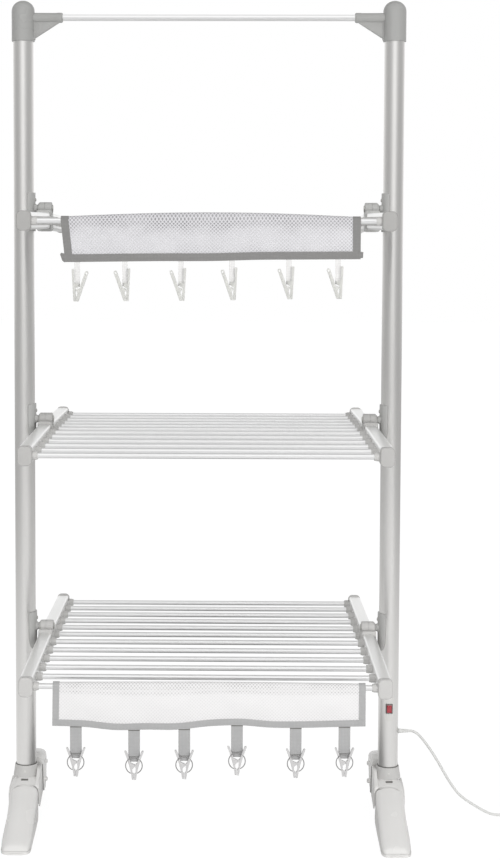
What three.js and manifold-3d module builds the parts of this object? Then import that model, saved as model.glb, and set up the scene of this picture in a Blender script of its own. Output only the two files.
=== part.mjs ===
// Heated clothes airer: two posts on folding feet, three tiers of hinged wings with heated bars,
// and two mesh strips with pegs that hang from the front bars.
// Millimetres and degrees. X points right, Y back and Z up. The origin is on the floor, midway
// between the posts. Names ending in Share or Shares are parts of the size that they follow.

import * as THREE from 'three';
import { mergeVertices } from 'three/addons/utils/BufferGeometryUtils.js';
import Module from 'manifold-3d';

const wasm = await Module();
wasm.setup();

// Clearances, the overrun of cuts, and how far solids of one moulding run into each other
const seatGap = 0.3;
const overrun = 2;
const fuseDepth = 1;

// Facets round a post, a hub, a bar or pin, and a small hole
const postSides = 20;
const hubSides = 12;
const barSides = 8;
const holeSides = 6;
const ferruleSides = 6;
const boreSides = 4;
const cornerSteps = 2;

// Posts
const postSpacing = 693;
const postDiameter = 38;
const postWall = 1.5;
const postRadius = postDiameter / 2;
const postAxis = postSpacing / 2;

// Top bar and its elbows
const topBarHeight = 1528;
const topBarDiameter = 11.5;
const topBarInsert = 30;
const elbowDiameter = 43;
const elbowBelow = 44;
const elbowAbove = 31.5;
const elbowDome = 20;
const domeSteps = 3;
const sleeveDiameter = 18;
const sleeveReach = 74;
const gussetThickness = 8;
const gussetDrop = 38;
const postTopSink = 12;

// Tiers of bars
const tierNames = ['bottom', 'middle', 'top'];
const lowestHub = 379;
const tierPitch = 397.3;
const wingReach = 345;
const wingDroop = 0.76;
const barPitchShare = 0.17507;
const barPitch = wingReach * barPitchShare;
const barsPerWing = 6;
const barHeight = 9.6;
const barDepth = 12;
const barWall = 1.2;
const barRise = 23;

// Hinge hub, bracket and pin
const hubDiameter = 23;
const hubOuter = 26;
const hubWidth = 27;
const pinDiameter = 8;
const pinHead = 13;
const pinHeadThickness = 2;
const pinInPost = 9;
const bracketAbove = 29;
const bracketBelow = 55;
const bracketWall = 3.4;
const bracketSteps = 8;
const bossDiameter = 13;
const screwPlaces = [16, -40];
const screwShank = 3.4;
const screwHead = 6.6;
const screwHeadHeight = 1.7;
const screwLength = 9;

// Rails, sockets, ferrules and end caps
const railWidth = 23;
const railHeight = 30;
const railWall = 1.6;
const railCorner = 4;
const railIn = 39.5;
const buttGap = 1.1;
const socketWall = 5;
const socketCorner = 5;
const socketCollar = 9.2;
const wireHole = 5;
const ferruleDiameter = 15.5;
const ferruleLength = 10.5;
const capWidth = 26;
const capHeight = 34;
const capCorner = 7;
const capPlate = 3;
const capSkirt = 11;

// Feet
const footReach = 186;
const collarDiameter = 43;
const collarTop = 113.5;
const collarBottom = 92;
const socketFloor = 76;
const footBodyWidth = 43.6;
const footBodyDepth = 42.8;
const cheekThickness = 6.2;
const cheekRadius = 9.5;
const cheekSteps = 4;
const shieldIn = 24.5;
const shieldThickness = 4;
const shieldReach = 45;
const shieldLow = 40;
const shieldFrontTop = 83;
const innerShieldTop = 107;
const outerShieldTop = 90;
const shieldSlope = 10;
const legPivotIn = 11;
const legPivotHeight = 60;
const legPinDiameter = 6;
const tongueRadius = 9;
const tongueTop = 11;
const tongueSteps = 8;
const tongueEnd = 70;
const legEndBottom = 50;
const legWall = 2.6;
const slotWidth = 10;
const slotHeight = 1.6;
const slotDepth = 2;
const slotBelowCollar = 3;
const studDiameter = 8;
const studProud = 2;
const legShellEndShare = 0.9;

// Front leg: place along its reach, top and bottom as shares of its end's top, half width
const frontLegTop = 88;
const frontLegHalf = 29.6;
const frontLegShares = [
  [0, 1, 1, 0.81],
  [0.2, 0.83, 0.79, 0.815],
  [0.28, 0.76, 0.705, 0.93],
  [0.44, 0.62, 0.54, 1],
  [0.6, 0.477, 0.37, 1],
  [0.78, 0.318, 0.18, 0.97],
  [0.9, 0.21, 0.03, 0.94],
  [0.965, 0.12, 0, 0.8],
  [1, 0.035, 0, 0.42],
];

// Rear leg, in the same way: its crown stands up behind the post, a little inwards
const rearLegTop = 127;
const rearLegHalf = 29;
const rearLegIn = 4.5;
const rearLegShares = [
  [0, 0.955, 1, 0.92],
  [0.08, 1, 0.914, 0.97],
  [0.24, 0.985, 0.756, 1],
  [0.39, 0.915, 0.6, 0.94],
  [0.54, 0.78, 0.436, 0.85],
  [0.69, 0.575, 0.276, 0.74],
  [0.84, 0.34, 0.116, 0.62],
  [0.95, 0.16, 0, 0.48],
  [1, 0.045, 0, 0.28],
];
const archSteps = 6;
const archRise = 17;
const archShare = 0.8;
const studPlaceShares = [[0.2, 0.73], [0.2, 0.5]];

// Switch and cord
const switchHeight = 227;
const bezelWidth = 12.8;
const bezelHeight = 18.6;
const bezelDepth = 14.4;
const bezelProud = 1.4;
const rockerWidth = 9;
const rockerHeight = 14;
const rockerTilt = 8;
const rockerRim = 0.9;
const rockerSink = 3.2;
const rockerCrest = 4.6;
const rockerDip = 3.3;
const rockerHeel = 2.6;
const glandHeight = 179;
const glandBase = 9.4;
const glandTip = 6.4;
const glandLength = 20;
const glandFlange = 1.2;
const glandInside = 4;
const cordDiameter = 5;
const cordSides = 8;
const cordSteps = 30;
const cordRoute = [
  [386.3, 0, 179], [392.5, 0.4, 178.4], [400.5, 1.4, 174.6], [409.5, 3, 166.4], [418.5, 4.6, 155],
  [428, 6.3, 141.6], [437.7, 8, 126.4], [447.5, 9.8, 110], [457, 11.6, 93], [466.8, 13.6, 76.6],
  [476.5, 15.7, 62], [486.3, 17.9, 50], [496, 20.2, 41.2], [505.8, 22.6, 33.8], [515.6, 25, 27],
  [525.5, 27.5, 20.4], [535.3, 30.2, 14.2], [545, 32.8, 8.8], [556.5, 35.8, 4.6], [568.5, 38.2, 2.9],
  [582, 39.6, 2.65], [596, 40, 2.6], [609, 40, 2.6], [621, 40, 2.6], [634.7, 40, 2.6],
];
const coilTurns = 6;
const coilSteps = 24;
const coilSides = 6;
const coilInner = 19.5;
const coilGap = 0.6;
const plugLead = 42;
const plugLeadSteps = 4;
const plugWidth = 35.3;
const plugThickness = 13.7;
const plugLength = 36;
const plugNeck = 9;
const plugNose = 24;
const plugShoulder = 12;
const plugPinDiameter = 4;
const plugPinLength = 19;
const plugPinSpacing = 18.6;

// Mesh strips, their straps, clips and pegs
const clothThickness = 1.2;
const clothClear = 0.6;
const clothStations = 14;
const loopSteps = 7;
const loopEnd = -132;
const hangPlane = 7.2;
const loopRadius = barDepth / 2 + clothClear + clothThickness / 2;
const hemDepth = 12;
const hemThickness = 2.4;
const topStrip = { start: -244, end: 258, drop: 66.5, arch: 7.5, fold: 2.2 };
const topDropShares = [1.035, 1.02, 1.005, 1, 0.965, 0.955, 0.945];
const bottomStrip = { start: -260, end: 273, drop: 68.5, arch: 2, fold: 3 };
const bottomDropShares = [0.97, 0.99, 1.065, 1.05, 1.045, 0.955, 0.925, 0.98, 0.98, 0.955, 0.935];
const topStripFolds = 3;
const bottomStripFolds = 4;
const topClipShares = [0.054, 0.214, 0.401, 0.572, 0.762, 0.926];
const bottomPegShares = [0.073, 0.26, 0.421, 0.59, 0.778, 0.934];
const topStrapWidth = 9.2;
const topStrapThickness = 1.2;
const topStrapLength = 42;
const strapSink = 8;
const clipHeight = 55;
const clipThickness = 5;
const clipHole = 3;
const clipStrapSeat = 25;
const clipLegShares = [
  [0.09, 1], [0.164, 1], [0.115, 0], [0.035, 0], [0.035, 0.145], [0.047, 0.3], [0.047, 0.396],
  [-0.044, 0.444], [-0.051, 0.555], [0.09, 0.555],
];
const clipArmShares = [
  [-0.042, 0.01], [0.028, 0], [0.028, 0.127], [-0.012, 0.25],
];
const clipTipShares = [[-0.07, 0.41], [-0.24, 0.895], [-0.285, 0.93], [-0.33, 0.915], [-0.345, 0.876]];
const clipHolePlaceShares = [-0.288, 0.86];
const clipPivotShares = [0, 0.345];
const clipPivotRadius = 2.2;
const clipPivotArc = [-60, 80];
const pivotSteps = 4;
const bottomStrapWidth = 20;
const bottomStrapThickness = 1.6;
const bottomStrapLength = 56;
const pegStrapSeat = 30;
const pegHeight = 50;
const pegThickness = 6;
const pegArmThickness = 4.2;
const pegJawShares = [[0.008, 0], [0.072, 0], [0.1, 0.22], [0.17, 0.5], [0.235, 0.72], [0.33, 0.985]];
const pegBackShares = [[0.3, 1], [0.262, 0.985], [0.17, 0.76], [0.11, 0.58]];
const pegWaistShares = [[0.06, 0.36], [0.055, 0.25], [0.008, 0.19]];
const pegPivotShares = [0, 0.48];
const pegPivotRadius = 2.4;
const ringRadius = 14.2;
const ringWire = 1.5;
const ringOpening = 44;
const ringSteps = 12;
const ringSides = 4;
const ringHeightShare = 0.5;

// Sizes that follow from the ones above
const hubInner = hubOuter + hubWidth;
const innerFace = postAxis - railIn - railWidth / 2;
const hubHeights = tierNames.map((name, tier) => lowestHub + tier * tierPitch);
const sleeveRadius = sleeveDiameter / 2;
const postTop = topBarHeight - postTopSink;
const knuckleWidth = (hubWidth - seatGap) / 2;
const legStart = footBodyDepth / 2 + seatGap;
const tongueHalf = footBodyWidth / 2 - cheekThickness - seatGap;
const hubRadius = hubDiameter / 2;
const railStart = hubRadius + fuseDepth;

// Materials
const aluminium = new THREE.MeshStandardMaterial({ color: '#d6d6d4', roughness: 0.35, metalness: 0.9 });
const brightAluminium = new THREE.MeshStandardMaterial({ color: '#e6e6e4', roughness: 0.2, metalness: 1 });
const greyPlastic = new THREE.MeshStandardMaterial({ color: '#b1b1b0', roughness: 0.5, metalness: 0 });
const footPlastic = new THREE.MeshStandardMaterial({ color: '#dcdcda', roughness: 0.3, metalness: 0 });
const steel = new THREE.MeshStandardMaterial({ color: '#a9a9a8', roughness: 0.3, metalness: 1 });
const clearPlastic = new THREE.MeshStandardMaterial({ color: '#e4e4e1', roughness: 0.25, metalness: 0 });
const palePlastic = new THREE.MeshStandardMaterial({ color: '#c9c8c5', roughness: 0.4, metalness: 0 });
const meshFabric = new THREE.MeshStandardMaterial({ color: '#eeedef', roughness: 0.9, metalness: 0 });
const greyWebbing = new THREE.MeshStandardMaterial({ color: '#a9aaac', roughness: 0.85, metalness: 0 });
const blackPlastic = new THREE.MeshStandardMaterial({ color: '#55504f', roughness: 0.4, metalness: 0 });
const redPlastic = new THREE.MeshStandardMaterial({ color: '#b5525a', roughness: 0.25, metalness: 0 });
const whitePlastic = new THREE.MeshStandardMaterial({ color: '#ececea', roughness: 0.45, metalness: 0 });

const radians = THREE.MathUtils.degToRad;

// Points round an ellipse, starting at an angle in degrees
function ellipse(radiusX, radiusY, sides, start = 0) {
  return Array.from({ length: sides }, (unused, side) => {
    const angle = radians(start) + (side / sides) * 2 * Math.PI;
    return new THREE.Vector2(radiusX * Math.cos(angle), radiusY * Math.sin(angle));
  });
}

// Points of an arc about a centre, both ends included
function arc(centreX, centreY, radius, from, to, steps) {
  return Array.from({ length: steps + 1 }, (unused, step) => {
    const angle = radians(from + ((to - from) * step) / steps);
    return new THREE.Vector2(centreX + radius * Math.cos(angle), centreY + radius * Math.sin(angle));
  });
}

// A rectangle with round corners, centred on a point
function roundedRectangle(width, height, corner, centreX = 0, centreY = 0) {
  const x = width / 2 - corner;
  const y = height / 2 - corner;
  return [[x, -y, -90], [x, y, 0], [-x, y, 90], [-x, -y, 180]].flatMap(([cornerX, cornerY, from]) =>
    arc(centreX + cornerX, centreY + cornerY, corner, from, from + 90, cornerSteps));
}

// A prism of an outline, from 0 to depth along Z
function prism(points, depth, holes = []) {
  const shape = new THREE.Shape(points);
  shape.holes = holes.map((hole) => new THREE.Path(hole));
  return new THREE.ExtrudeGeometry(shape, { depth, bevelEnabled: false });
}

// Lays a prism down: its outline in Y and Z, its length along X from startX
function alongX(geometry, startX) {
  const axes = new THREE.Matrix4().makeBasis(
    new THREE.Vector3(0, 1, 0), new THREE.Vector3(0, 0, 1), new THREE.Vector3(1, 0, 0));
  return geometry.applyMatrix4(axes).translate(startX, 0, 0);
}

// Lays a prism down: its outline in X and Z, its length towards the front from startY
function alongFront(geometry, startY) {
  return geometry.rotateX(Math.PI / 2).translate(0, startY, 0);
}

function cylinderX(radius, startX, endX, sides, y = 0, z = 0) {
  return alongX(prism(ellipse(radius, radius, sides), endX - startX), startX).translate(0, y, z);
}

function cylinderZ(radius, startZ, endZ, sides) {
  return prism(ellipse(radius, radius, sides), endZ - startZ).translate(0, 0, startZ);
}

function block(minX, maxX, minY, maxY, minZ, maxZ) {
  const box = new THREE.BoxGeometry(maxX - minX, maxY - minY, maxZ - minZ);
  return box.translate((minX + maxX) / 2, (minY + maxY) / 2, (minZ + maxZ) / 2);
}

// Only positions, with shared corners merged, as the boolean library wants them
function merged(geometry) {
  const bare = geometry.clone();
  bare.deleteAttribute('normal');
  bare.deleteAttribute('uv');
  return mergeVertices(bare);
}

function solid(geometry) {
  const bare = merged(geometry);
  return new wasm.Manifold(new wasm.Mesh({
    numProp: 3,
    vertProperties: new Float32Array(bare.attributes.position.array),
    triVerts: new Uint32Array(bare.index.array),
  }));
}

// Joins the added geometries and cuts the removed ones out
function shaped(added, removed = []) {
  const whole = added.map(solid).reduce((sum, next) => sum.add(next));
  const mesh = removed.map(solid).reduce((rest, next) => rest.subtract(next), whole).getMesh();
  const geometry = new THREE.BufferGeometry();
  geometry.setAttribute('position', new THREE.BufferAttribute(new Float32Array(mesh.vertProperties), 3));
  geometry.setIndex(new THREE.BufferAttribute(new Uint32Array(mesh.triVerts), 1));
  return geometry;
}

// The same solid seen in a mirror, with its faces turned back outwards
function mirrored(geometry, scaleX, scaleY) {
  const copy = merged(geometry).scale(scaleX, scaleY, 1);
  const index = copy.index.array;
  for (let corner = 0; corner < index.length; corner += 3) {
    [index[corner], index[corner + 1]] = [index[corner + 1], index[corner]];
  }
  return copy;
}

// A closed skin over rings of points that all have the same count
function skin(rings) {
  const count = rings[0].length;
  const index = [];
  rings.slice(1).forEach((ring, place) => {
    for (let point = 0; point < count; point += 1) {
      const next = (point + 1) % count;
      const low = place * count;
      const high = low + count;
      index.push(low + point, low + next, high + next, low + point, high + next, high + point);
    }
  });
  const last = (rings.length - 1) * count;
  const flat = THREE.ShapeUtils.triangulateShape(outlineOf(rings[0]), []);
  const flatEnd = THREE.ShapeUtils.triangulateShape(outlineOf(rings[rings.length - 1]), []);
  flat.forEach(([a, b, c]) => index.push(c, b, a));
  flatEnd.forEach(([a, b, c]) => index.push(last + a, last + b, last + c));
  const geometry = new THREE.BufferGeometry();
  const places = rings.flat().flatMap((point) => [point.x, point.y, point.z]);
  geometry.setAttribute('position', new THREE.Float32BufferAttribute(places, 3));
  geometry.setIndex(index);
  return facingOut(geometry);
}

// A flat copy of a ring, turned into the plane that it lies in
function outlineOf(ring) {
  const normal = new THREE.Vector3();
  ring.forEach((point, place) => {
    const next = ring[(place + 1) % ring.length];
    normal.x += (point.y - next.y) * (point.z + next.z);
    normal.y += (point.z - next.z) * (point.x + next.x);
    normal.z += (point.x - next.x) * (point.y + next.y);
  });
  const turn = new THREE.Quaternion().setFromUnitVectors(normal.normalize(), new THREE.Vector3(0, 0, 1));
  return ring.map((point) => {
    const flat = point.clone().applyQuaternion(turn);
    return new THREE.Vector2(flat.x, flat.y);
  });
}

// Turns the faces round where the volume comes out negative
function facingOut(geometry) {
  const position = geometry.attributes.position;
  const index = geometry.index.array;
  const [a, b, c] = [new THREE.Vector3(), new THREE.Vector3(), new THREE.Vector3()];
  let volume = 0;
  for (let corner = 0; corner < index.length; corner += 3) {
    a.fromBufferAttribute(position, index[corner]);
    b.fromBufferAttribute(position, index[corner + 1]);
    c.fromBufferAttribute(position, index[corner + 2]);
    volume += a.dot(b.cross(c));
  }
  if (volume < 0) {
    for (let corner = 0; corner < index.length; corner += 3) {
      [index[corner], index[corner + 1]] = [index[corner + 1], index[corner]];
    }
  }
  return geometry;
}

// A round tube through points, with its rings kept square to the path
function tube(points, radius, sides) {
  const side = new THREE.Vector3(0, 0, 1);
  const rings = points.map((point, place) => {
    const before = points[Math.max(place - 1, 0)];
    const after = points[Math.min(place + 1, points.length - 1)];
    const along = after.clone().sub(before).normalize();
    const up = side.clone().addScaledVector(along, -side.dot(along)).normalize();
    const across = new THREE.Vector3().crossVectors(along, up);
    return ellipse(radius, radius, sides).map((corner) =>
      point.clone().addScaledVector(up, corner.x).addScaledVector(across, corner.y));
  });
  return skin(rings);
}

// The least gap between two stretches of one tube that lie more than apart steps from each other
function leastGap(points, diameter, apart) {
  let least = Infinity;
  points.forEach((point, place) => {
    for (let other = place + apart; other < points.length; other += 1) {
      least = Math.min(least, point.distanceTo(points[other]) - diameter);
    }
  });
  return least;
}

const airer = new THREE.Group();

function addPiece(name, geometry, material, parent = airer) {
  const mesh = new THREE.Mesh(geometry, material);
  mesh.name = name;
  parent.add(mesh);
  return mesh;
}

// Adds a left piece made about a post's axis, and its mirror image on the right
function addPair(name, geometry, material) {
  addPiece(`left_${name}`, geometry.clone().translate(-postAxis, 0, 0), material);
  addPiece(`right_${name}`, mirrored(geometry, -1, 1).translate(postAxis, 0, 0), material);
}

// Holes through a post for the hinge pins and bracket screws, in the post's own place
function postHoles() {
  return hubHeights.flatMap((height) => [
    cylinderX(pinDiameter / 2 + seatGap, 0, postRadius + overrun, barSides, 0, height),
    ...screwPlaces.map((place) =>
      cylinderX(screwShank / 2 + seatGap, 0, postRadius + overrun, holeSides, 0, height + place)),
  ]);
}

// Posts: drawn tubes with holes on the inner side, and the switch and cord holes on the right
function addPosts() {
  const outer = cylinderZ(postRadius, socketFloor + seatGap, postTop, postSides);
  const inner = cylinderZ(postRadius - postWall, socketFloor - overrun, postTop + overrun, postSides);
  addPiece('left_post', shaped([outer], [inner, ...postHoles()]).translate(-postAxis, 0, 0), aluminium);
  const halfWidth = bezelWidth / 2 + seatGap;
  const halfHeight = bezelHeight / 2 + seatGap;
  const switchHole = block(-halfWidth, halfWidth, -postRadius - overrun, 0,
    switchHeight - halfHeight, switchHeight + halfHeight);
  const glandHole = cylinderX(glandTip / 2 + seatGap, -postRadius - overrun, 0, barSides, 0, glandHeight);
  const post = shaped([outer], [inner, ...postHoles(), switchHole, glandHole]);
  addPiece('right_post', mirrored(post, -1, 1).translate(postAxis, 0, 0), aluminium);
}

// Elbows: a domed cap over the post, with a sleeve and a web for the top bar
function addElbows() {
  const radius = elbowDiameter / 2;
  const shoulder = elbowAbove - elbowDome;
  const dome = arc(0, 0, 1, 0, 90, domeSteps).map((point) =>
    new THREE.Vector2(point.x * radius, shoulder + point.y * elbowDome));
  dome[domeSteps].x = 0;
  const profile = [new THREE.Vector2(0, -elbowBelow), new THREE.Vector2(radius, -elbowBelow), ...dome];
  const body = new THREE.LatheGeometry(profile, postSides).rotateX(Math.PI / 2);
  const sleeve = cylinderX(sleeveRadius, 0, sleeveReach, hubSides);
  const web = [[0, -gussetDrop], [radius, -gussetDrop], [sleeveReach - sleeveRadius, -sleeveRadius / 2],
    [0, -sleeveRadius / 2]].map(([x, z]) => new THREE.Vector2(x, z));
  const gusset = alongFront(prism(web, gussetThickness), gussetThickness / 2);
  const postBore = cylinderZ(postRadius + seatGap, -elbowBelow - overrun, -postTopSink + seatGap, postSides);
  const barBoreHole = cylinderX(topBarDiameter / 2 + seatGap, sleeveReach - topBarInsert - seatGap,
    sleeveReach + overrun, hubSides);
  const elbow = shaped([body, sleeve, gusset], [postBore, barBoreHole]);
  addPair('top_elbow', elbow.translate(0, 0, topBarHeight), greyPlastic);
}

function addTopBar() {
  const half = postAxis - sleeveReach + topBarInsert;
  addPiece('top_bar', cylinderX(topBarDiameter / 2, -half, half, hubSides, 0, topBarHeight), brightAluminium);
}

// Bracket: a saddle round the inner side of the post, with its two screws, and a boss that holds
// the hinge pin. The pin's flat head keeps both wings on it.
function bracket() {
  const inner = postRadius + seatGap;
  const outer = inner + bracketWall;
  const half = ((bracketSteps / postSides) * 360) / 2;
  const band = [...arc(0, 0, outer, -half, half, bracketSteps),
    ...arc(0, 0, inner, half, -half, bracketSteps)];
  const saddle = prism(band, bracketAbove + bracketBelow).translate(0, 0, -bracketBelow);
  const boss = cylinderX(bossDiameter / 2, inner + bracketWall / 2, hubOuter - seatGap, hubSides);
  const pin = cylinderX(pinDiameter / 2, pinInPost, hubInner + seatGap + pinHeadThickness / 2, hubSides);
  const head = cylinderX(pinHead / 2, hubInner + seatGap, hubInner + seatGap + pinHeadThickness, hubSides);
  const screws = screwPlaces.flatMap((place) => [
    cylinderX(screwShank / 2, outer + screwHeadHeight / 2 - screwLength, outer, holeSides, 0, place),
    cylinderX(screwHead / 2, outer - bracketWall / 2, outer + screwHeadHeight, barSides, 0, place)]);
  return shaped([saddle, boss, pin, head, ...screws]);
}

function addBrackets() {
  const one = bracket();
  tierNames.forEach((tier, place) => {
    addPair(`${tier}_hinge_bracket`, one.clone().translate(0, 0, hubHeights[place]), greyPlastic);
  });
}

// Socket of a left front rail: a knuckle on the pin, a body that butts against the other wing's,
// and a collar round the rail. The knuckle takes the outer or the inner half of the hub.
function railSocket(outerHalf) {
  const left = -postAxis + hubOuter;
  const middle = left + hubWidth / 2;
  const knuckleStart = outerHalf ? left : left + hubWidth - knuckleWidth;
  const bottom = -barRise - railHeight / 2 - socketWall;
  const bodyTop = -hubRadius - seatGap;
  const collarHigh = -barRise + railHeight / 2 + socketWall;
  const outline = (top) => [
    new THREE.Vector2(middle + hubWidth / 2, top), new THREE.Vector2(middle - hubWidth / 2, top),
    ...arc(middle - hubWidth / 2 + socketCorner, bottom + socketCorner, socketCorner, 180, 270, cornerSteps),
    ...arc(middle + hubWidth / 2 - socketCorner, bottom + socketCorner, socketCorner, 270, 360, cornerSteps)];
  const body = alongFront(prism(outline(bodyTop), railStart + fuseDepth - buttGap), -buttGap);
  const collar = alongFront(prism(outline(collarHigh), socketCollar), -railStart);
  const knuckle = cylinderX(hubRadius, knuckleStart, knuckleStart + knuckleWidth, hubSides);
  const neck = block(knuckleStart, knuckleStart + knuckleWidth, -hubRadius, -buttGap,
    bodyTop - fuseDepth, -overrun);
  return [body, collar, knuckle, neck];
}

// A left front rail with its socket, its end cap and the ferrules that its bars end in
function sideParts(outerHalf, barPlaces) {
  const centre = -postAxis + railIn;
  const rail = alongFront(prism(roundedRectangle(railWidth, railHeight, railCorner, centre, -barRise),
    wingReach - capPlate - railStart), -railStart);
  const cap = alongFront(prism(roundedRectangle(capWidth, capHeight, capCorner, centre, -barRise),
    capPlate + capSkirt), -wingReach + capPlate + capSkirt);
  const ferrules = barPlaces.map((place) => cylinderX(ferruleDiameter / 2, -innerFace - railWall / 2,
    -innerFace + ferruleLength, ferruleSides, place, -barRise));
  return [...railSocket(outerHalf), rail, cap, ...ferrules];
}

// What is hollow in a left front rail: its bore, the pin's hole and the hole that its wires go through
function sideBores() {
  const centre = -postAxis + railIn;
  const left = -postAxis + hubOuter;
  const x = railWidth / 2 - railWall;
  const z = railHeight / 2 - railWall;
  return [
    block(centre - x, centre + x, -wingReach + capPlate, -railStart - seatGap, -barRise - z, -barRise + z),
    cylinderX(pinDiameter / 2 + seatGap, left - overrun, left + hubWidth + overrun, hubSides),
    cylinderX(wireHole / 2, left - overrun, centre, barSides, -railStart - socketCollar / 2, -barRise),
  ];
}

// One wing in the front's place, about the hub axis: hollow rails joined by evenly spaced hollow bars
function wing(outerHalf) {
  const barPlaces = Array.from({ length: barsPerWing }, (unused, bar) => -barPitch * (bar + 1 / 2));
  const half = innerFace + railWall / 2;
  const tubes = (wall, length, sides) => barPlaces.map((place) =>
    alongX(prism(ellipse(barDepth / 2 - wall, barHeight / 2 - wall, sides, 180 / sides), 2 * length), -length)
      .translate(0, place, -barRise));
  const side = sideParts(outerHalf, barPlaces);
  const bores = sideBores();
  const both = (parts) => [...parts, ...parts.map((part) => mirrored(part, -1, 1))];
  return shaped([...both(side), ...tubes(0, half, barSides)],
    [...both(bores), ...tubes(barWall, half + overrun, boreSides)]);
}

function addWings() {
  const front = wing(true);
  const rear = mirrored(wing(false), 1, -1);
  tierNames.forEach((tier, place) => {
    const frontWing = addPiece(`${tier}_front_wing`, front.clone(), aluminium);
    frontWing.position.z = hubHeights[place];
    frontWing.rotation.x = radians(wingDroop);
    const rearWing = addPiece(`${tier}_rear_wing`, rear.clone(), aluminium);
    rearWing.position.z = hubHeights[place];
    rearWing.rotation.x = -radians(wingDroop);
  });
}

// Rings of a leg, one for each row of its table: upright sides under an arch. The inset rings are
// those of its hollow, which is open below.
function legRings(table, top, half, inset) {
  const reach = footReach - legStart;
  const rows = table.filter((row) => inset === 0 || row[0] <= legShellEndShare);
  return rows.map(([place, topShare, bottomShare, halfShare]) => {
    const y = -legStart - place * reach;
    const high = top * topShare - inset;
    const low = legEndBottom * bottomShare - (inset ? overrun : 0);
    const width = half * halfShare - inset;
    const rise = Math.min(archRise, (high - low) * archShare);
    const arch = arc(0, 0, 1, 0, 180, archSteps).map((point) =>
      new THREE.Vector3(point.x * width, y, high - rise + point.y * rise));
    return [new THREE.Vector3(width, y, low), ...arch, new THREE.Vector3(-width, y, low)];
  });
}

// A leg in the front's place: an open shell, with a tongue that turns on its pin
function leg(table, top, half, inward, studs) {
  const shell = skin(legRings(table, top, half, 0)).translate(inward, 0, 0);
  const rings = legRings(table, top, half, legWall);
  rings[0].forEach((point) => {
    point.y -= legWall;
  });
  const hollow = skin(rings).translate(inward, 0, 0);
  const root = -legStart - legWall;
  const outline = [new THREE.Vector2(root, legPivotHeight - tongueRadius),
    ...arc(-legPivotIn, legPivotHeight, tongueRadius, -90, tongueEnd, tongueSteps),
    new THREE.Vector2(root, legPivotHeight + tongueTop)];
  const tongue = alongX(prism(outline, 2 * tongueHalf), -tongueHalf);
  const bore = cylinderX(legPinDiameter / 2 + seatGap, -tongueHalf - overrun, tongueHalf + overrun,
    barSides, -legPivotIn, legPivotHeight);
  return shaped([shaped([shell, tongue], [hollow, bore]), ...studs]);
}

// Outline in Y and Z of a shield, or of the part of it that is beside the post
function shieldOutline(top, front) {
  const back = footBodyDepth / 2;
  const wide = front > back;
  const low = wide ? [new THREE.Vector2(-front, shieldLow)]
    : arc(-legPivotIn, legPivotHeight, cheekRadius, 270, 180, cheekSteps);
  return [
    new THREE.Vector2(-front, wide ? shieldFrontTop : top - shieldSlope), ...low.reverse(),
    ...arc(legPivotIn, legPivotHeight, cheekRadius, -90, 0, cheekSteps),
    new THREE.Vector2(back, legPivotHeight + tongueTop), new THREE.Vector2(back, top - shieldSlope / 2),
    new THREE.Vector2(back - shieldSlope / 2, top), new THREE.Vector2(-shieldSlope, top),
    ...(wide ? [new THREE.Vector2(-back, top - shieldSlope)] : []),
  ];
}

// A shield on the inner side, which covers the legs' ends: a plate joined to the cheek
function shield(top) {
  const plate = alongX(prism(shieldOutline(top, shieldReach), shieldThickness), shieldIn);
  const start = footBodyWidth / 2 - fuseDepth;
  const rib = alongX(prism(shieldOutline(top, footBodyDepth / 2), shieldIn + fuseDepth - start), start);
  return [plate, rib];
}

// Foot body: a collar round the post, two cheeks that carry the leg pins, and a shield on each
function footBody() {
  const half = footBodyDepth / 2;
  const width = footBodyWidth / 2;
  const low = legPivotHeight - cheekRadius;
  const outline = [new THREE.Vector2(-half, collarBottom),
    new THREE.Vector2(-half, legPivotHeight + tongueTop),
    ...arc(-legPivotIn, legPivotHeight, cheekRadius, 180, 270, cheekSteps),
    ...arc(legPivotIn, legPivotHeight, cheekRadius, -90, 0, cheekSteps),
    new THREE.Vector2(half, legPivotHeight + tongueTop), new THREE.Vector2(half, collarBottom)];
  const cheeks = alongX(prism(outline, 2 * width), -width);
  const collar = cylinderZ(collarDiameter / 2, socketFloor - fuseDepth, collarTop, postSides);
  const outerShield = shield(outerShieldTop).map((piece) => mirrored(piece, -1, 1));
  const between = block(-width + cheekThickness, width - cheekThickness, -half - overrun, half + overrun,
    low - overrun, legPivotHeight + tongueTop + fuseDepth);
  const postBore = cylinderZ(postRadius + seatGap, socketFloor, collarTop + overrun, postSides);
  const pins = [-legPivotIn, legPivotIn].map((y) => cylinderX(legPinDiameter / 2,
    -width + cheekThickness / 2, width - cheekThickness / 2, hubSides, y, legPivotHeight));
  const slotTop = collarBottom - slotBelowCollar;
  const slot = block(-slotWidth / 2, slotWidth / 2, -half - overrun, -half + slotDepth,
    slotTop - slotHeight, slotTop);
  const body = shaped([cheeks, collar, ...shield(innerShieldTop), ...outerShield], [between, postBore, slot]);
  return shaped([body, ...pins]);
}

function addFeet() {
  addPair('foot_body', footBody(), footPlastic);
  addPair('front_leg', leg(frontLegShares, frontLegTop, frontLegHalf, 0, []), footPlastic);
  const studs = studPlaceShares.map(([place, up]) =>
    cylinderX(studDiameter / 2, rearLegIn + rearLegHalf - 2 * legWall, rearLegIn + rearLegHalf + studProud,
      barSides, -legStart - place * (footReach - legStart), up * rearLegTop));
  const rear = leg(rearLegShares, rearLegTop, rearLegHalf, rearLegIn, studs);
  addPair('rear_leg', mirrored(rear, 1, -1), footPlastic);
}

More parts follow.
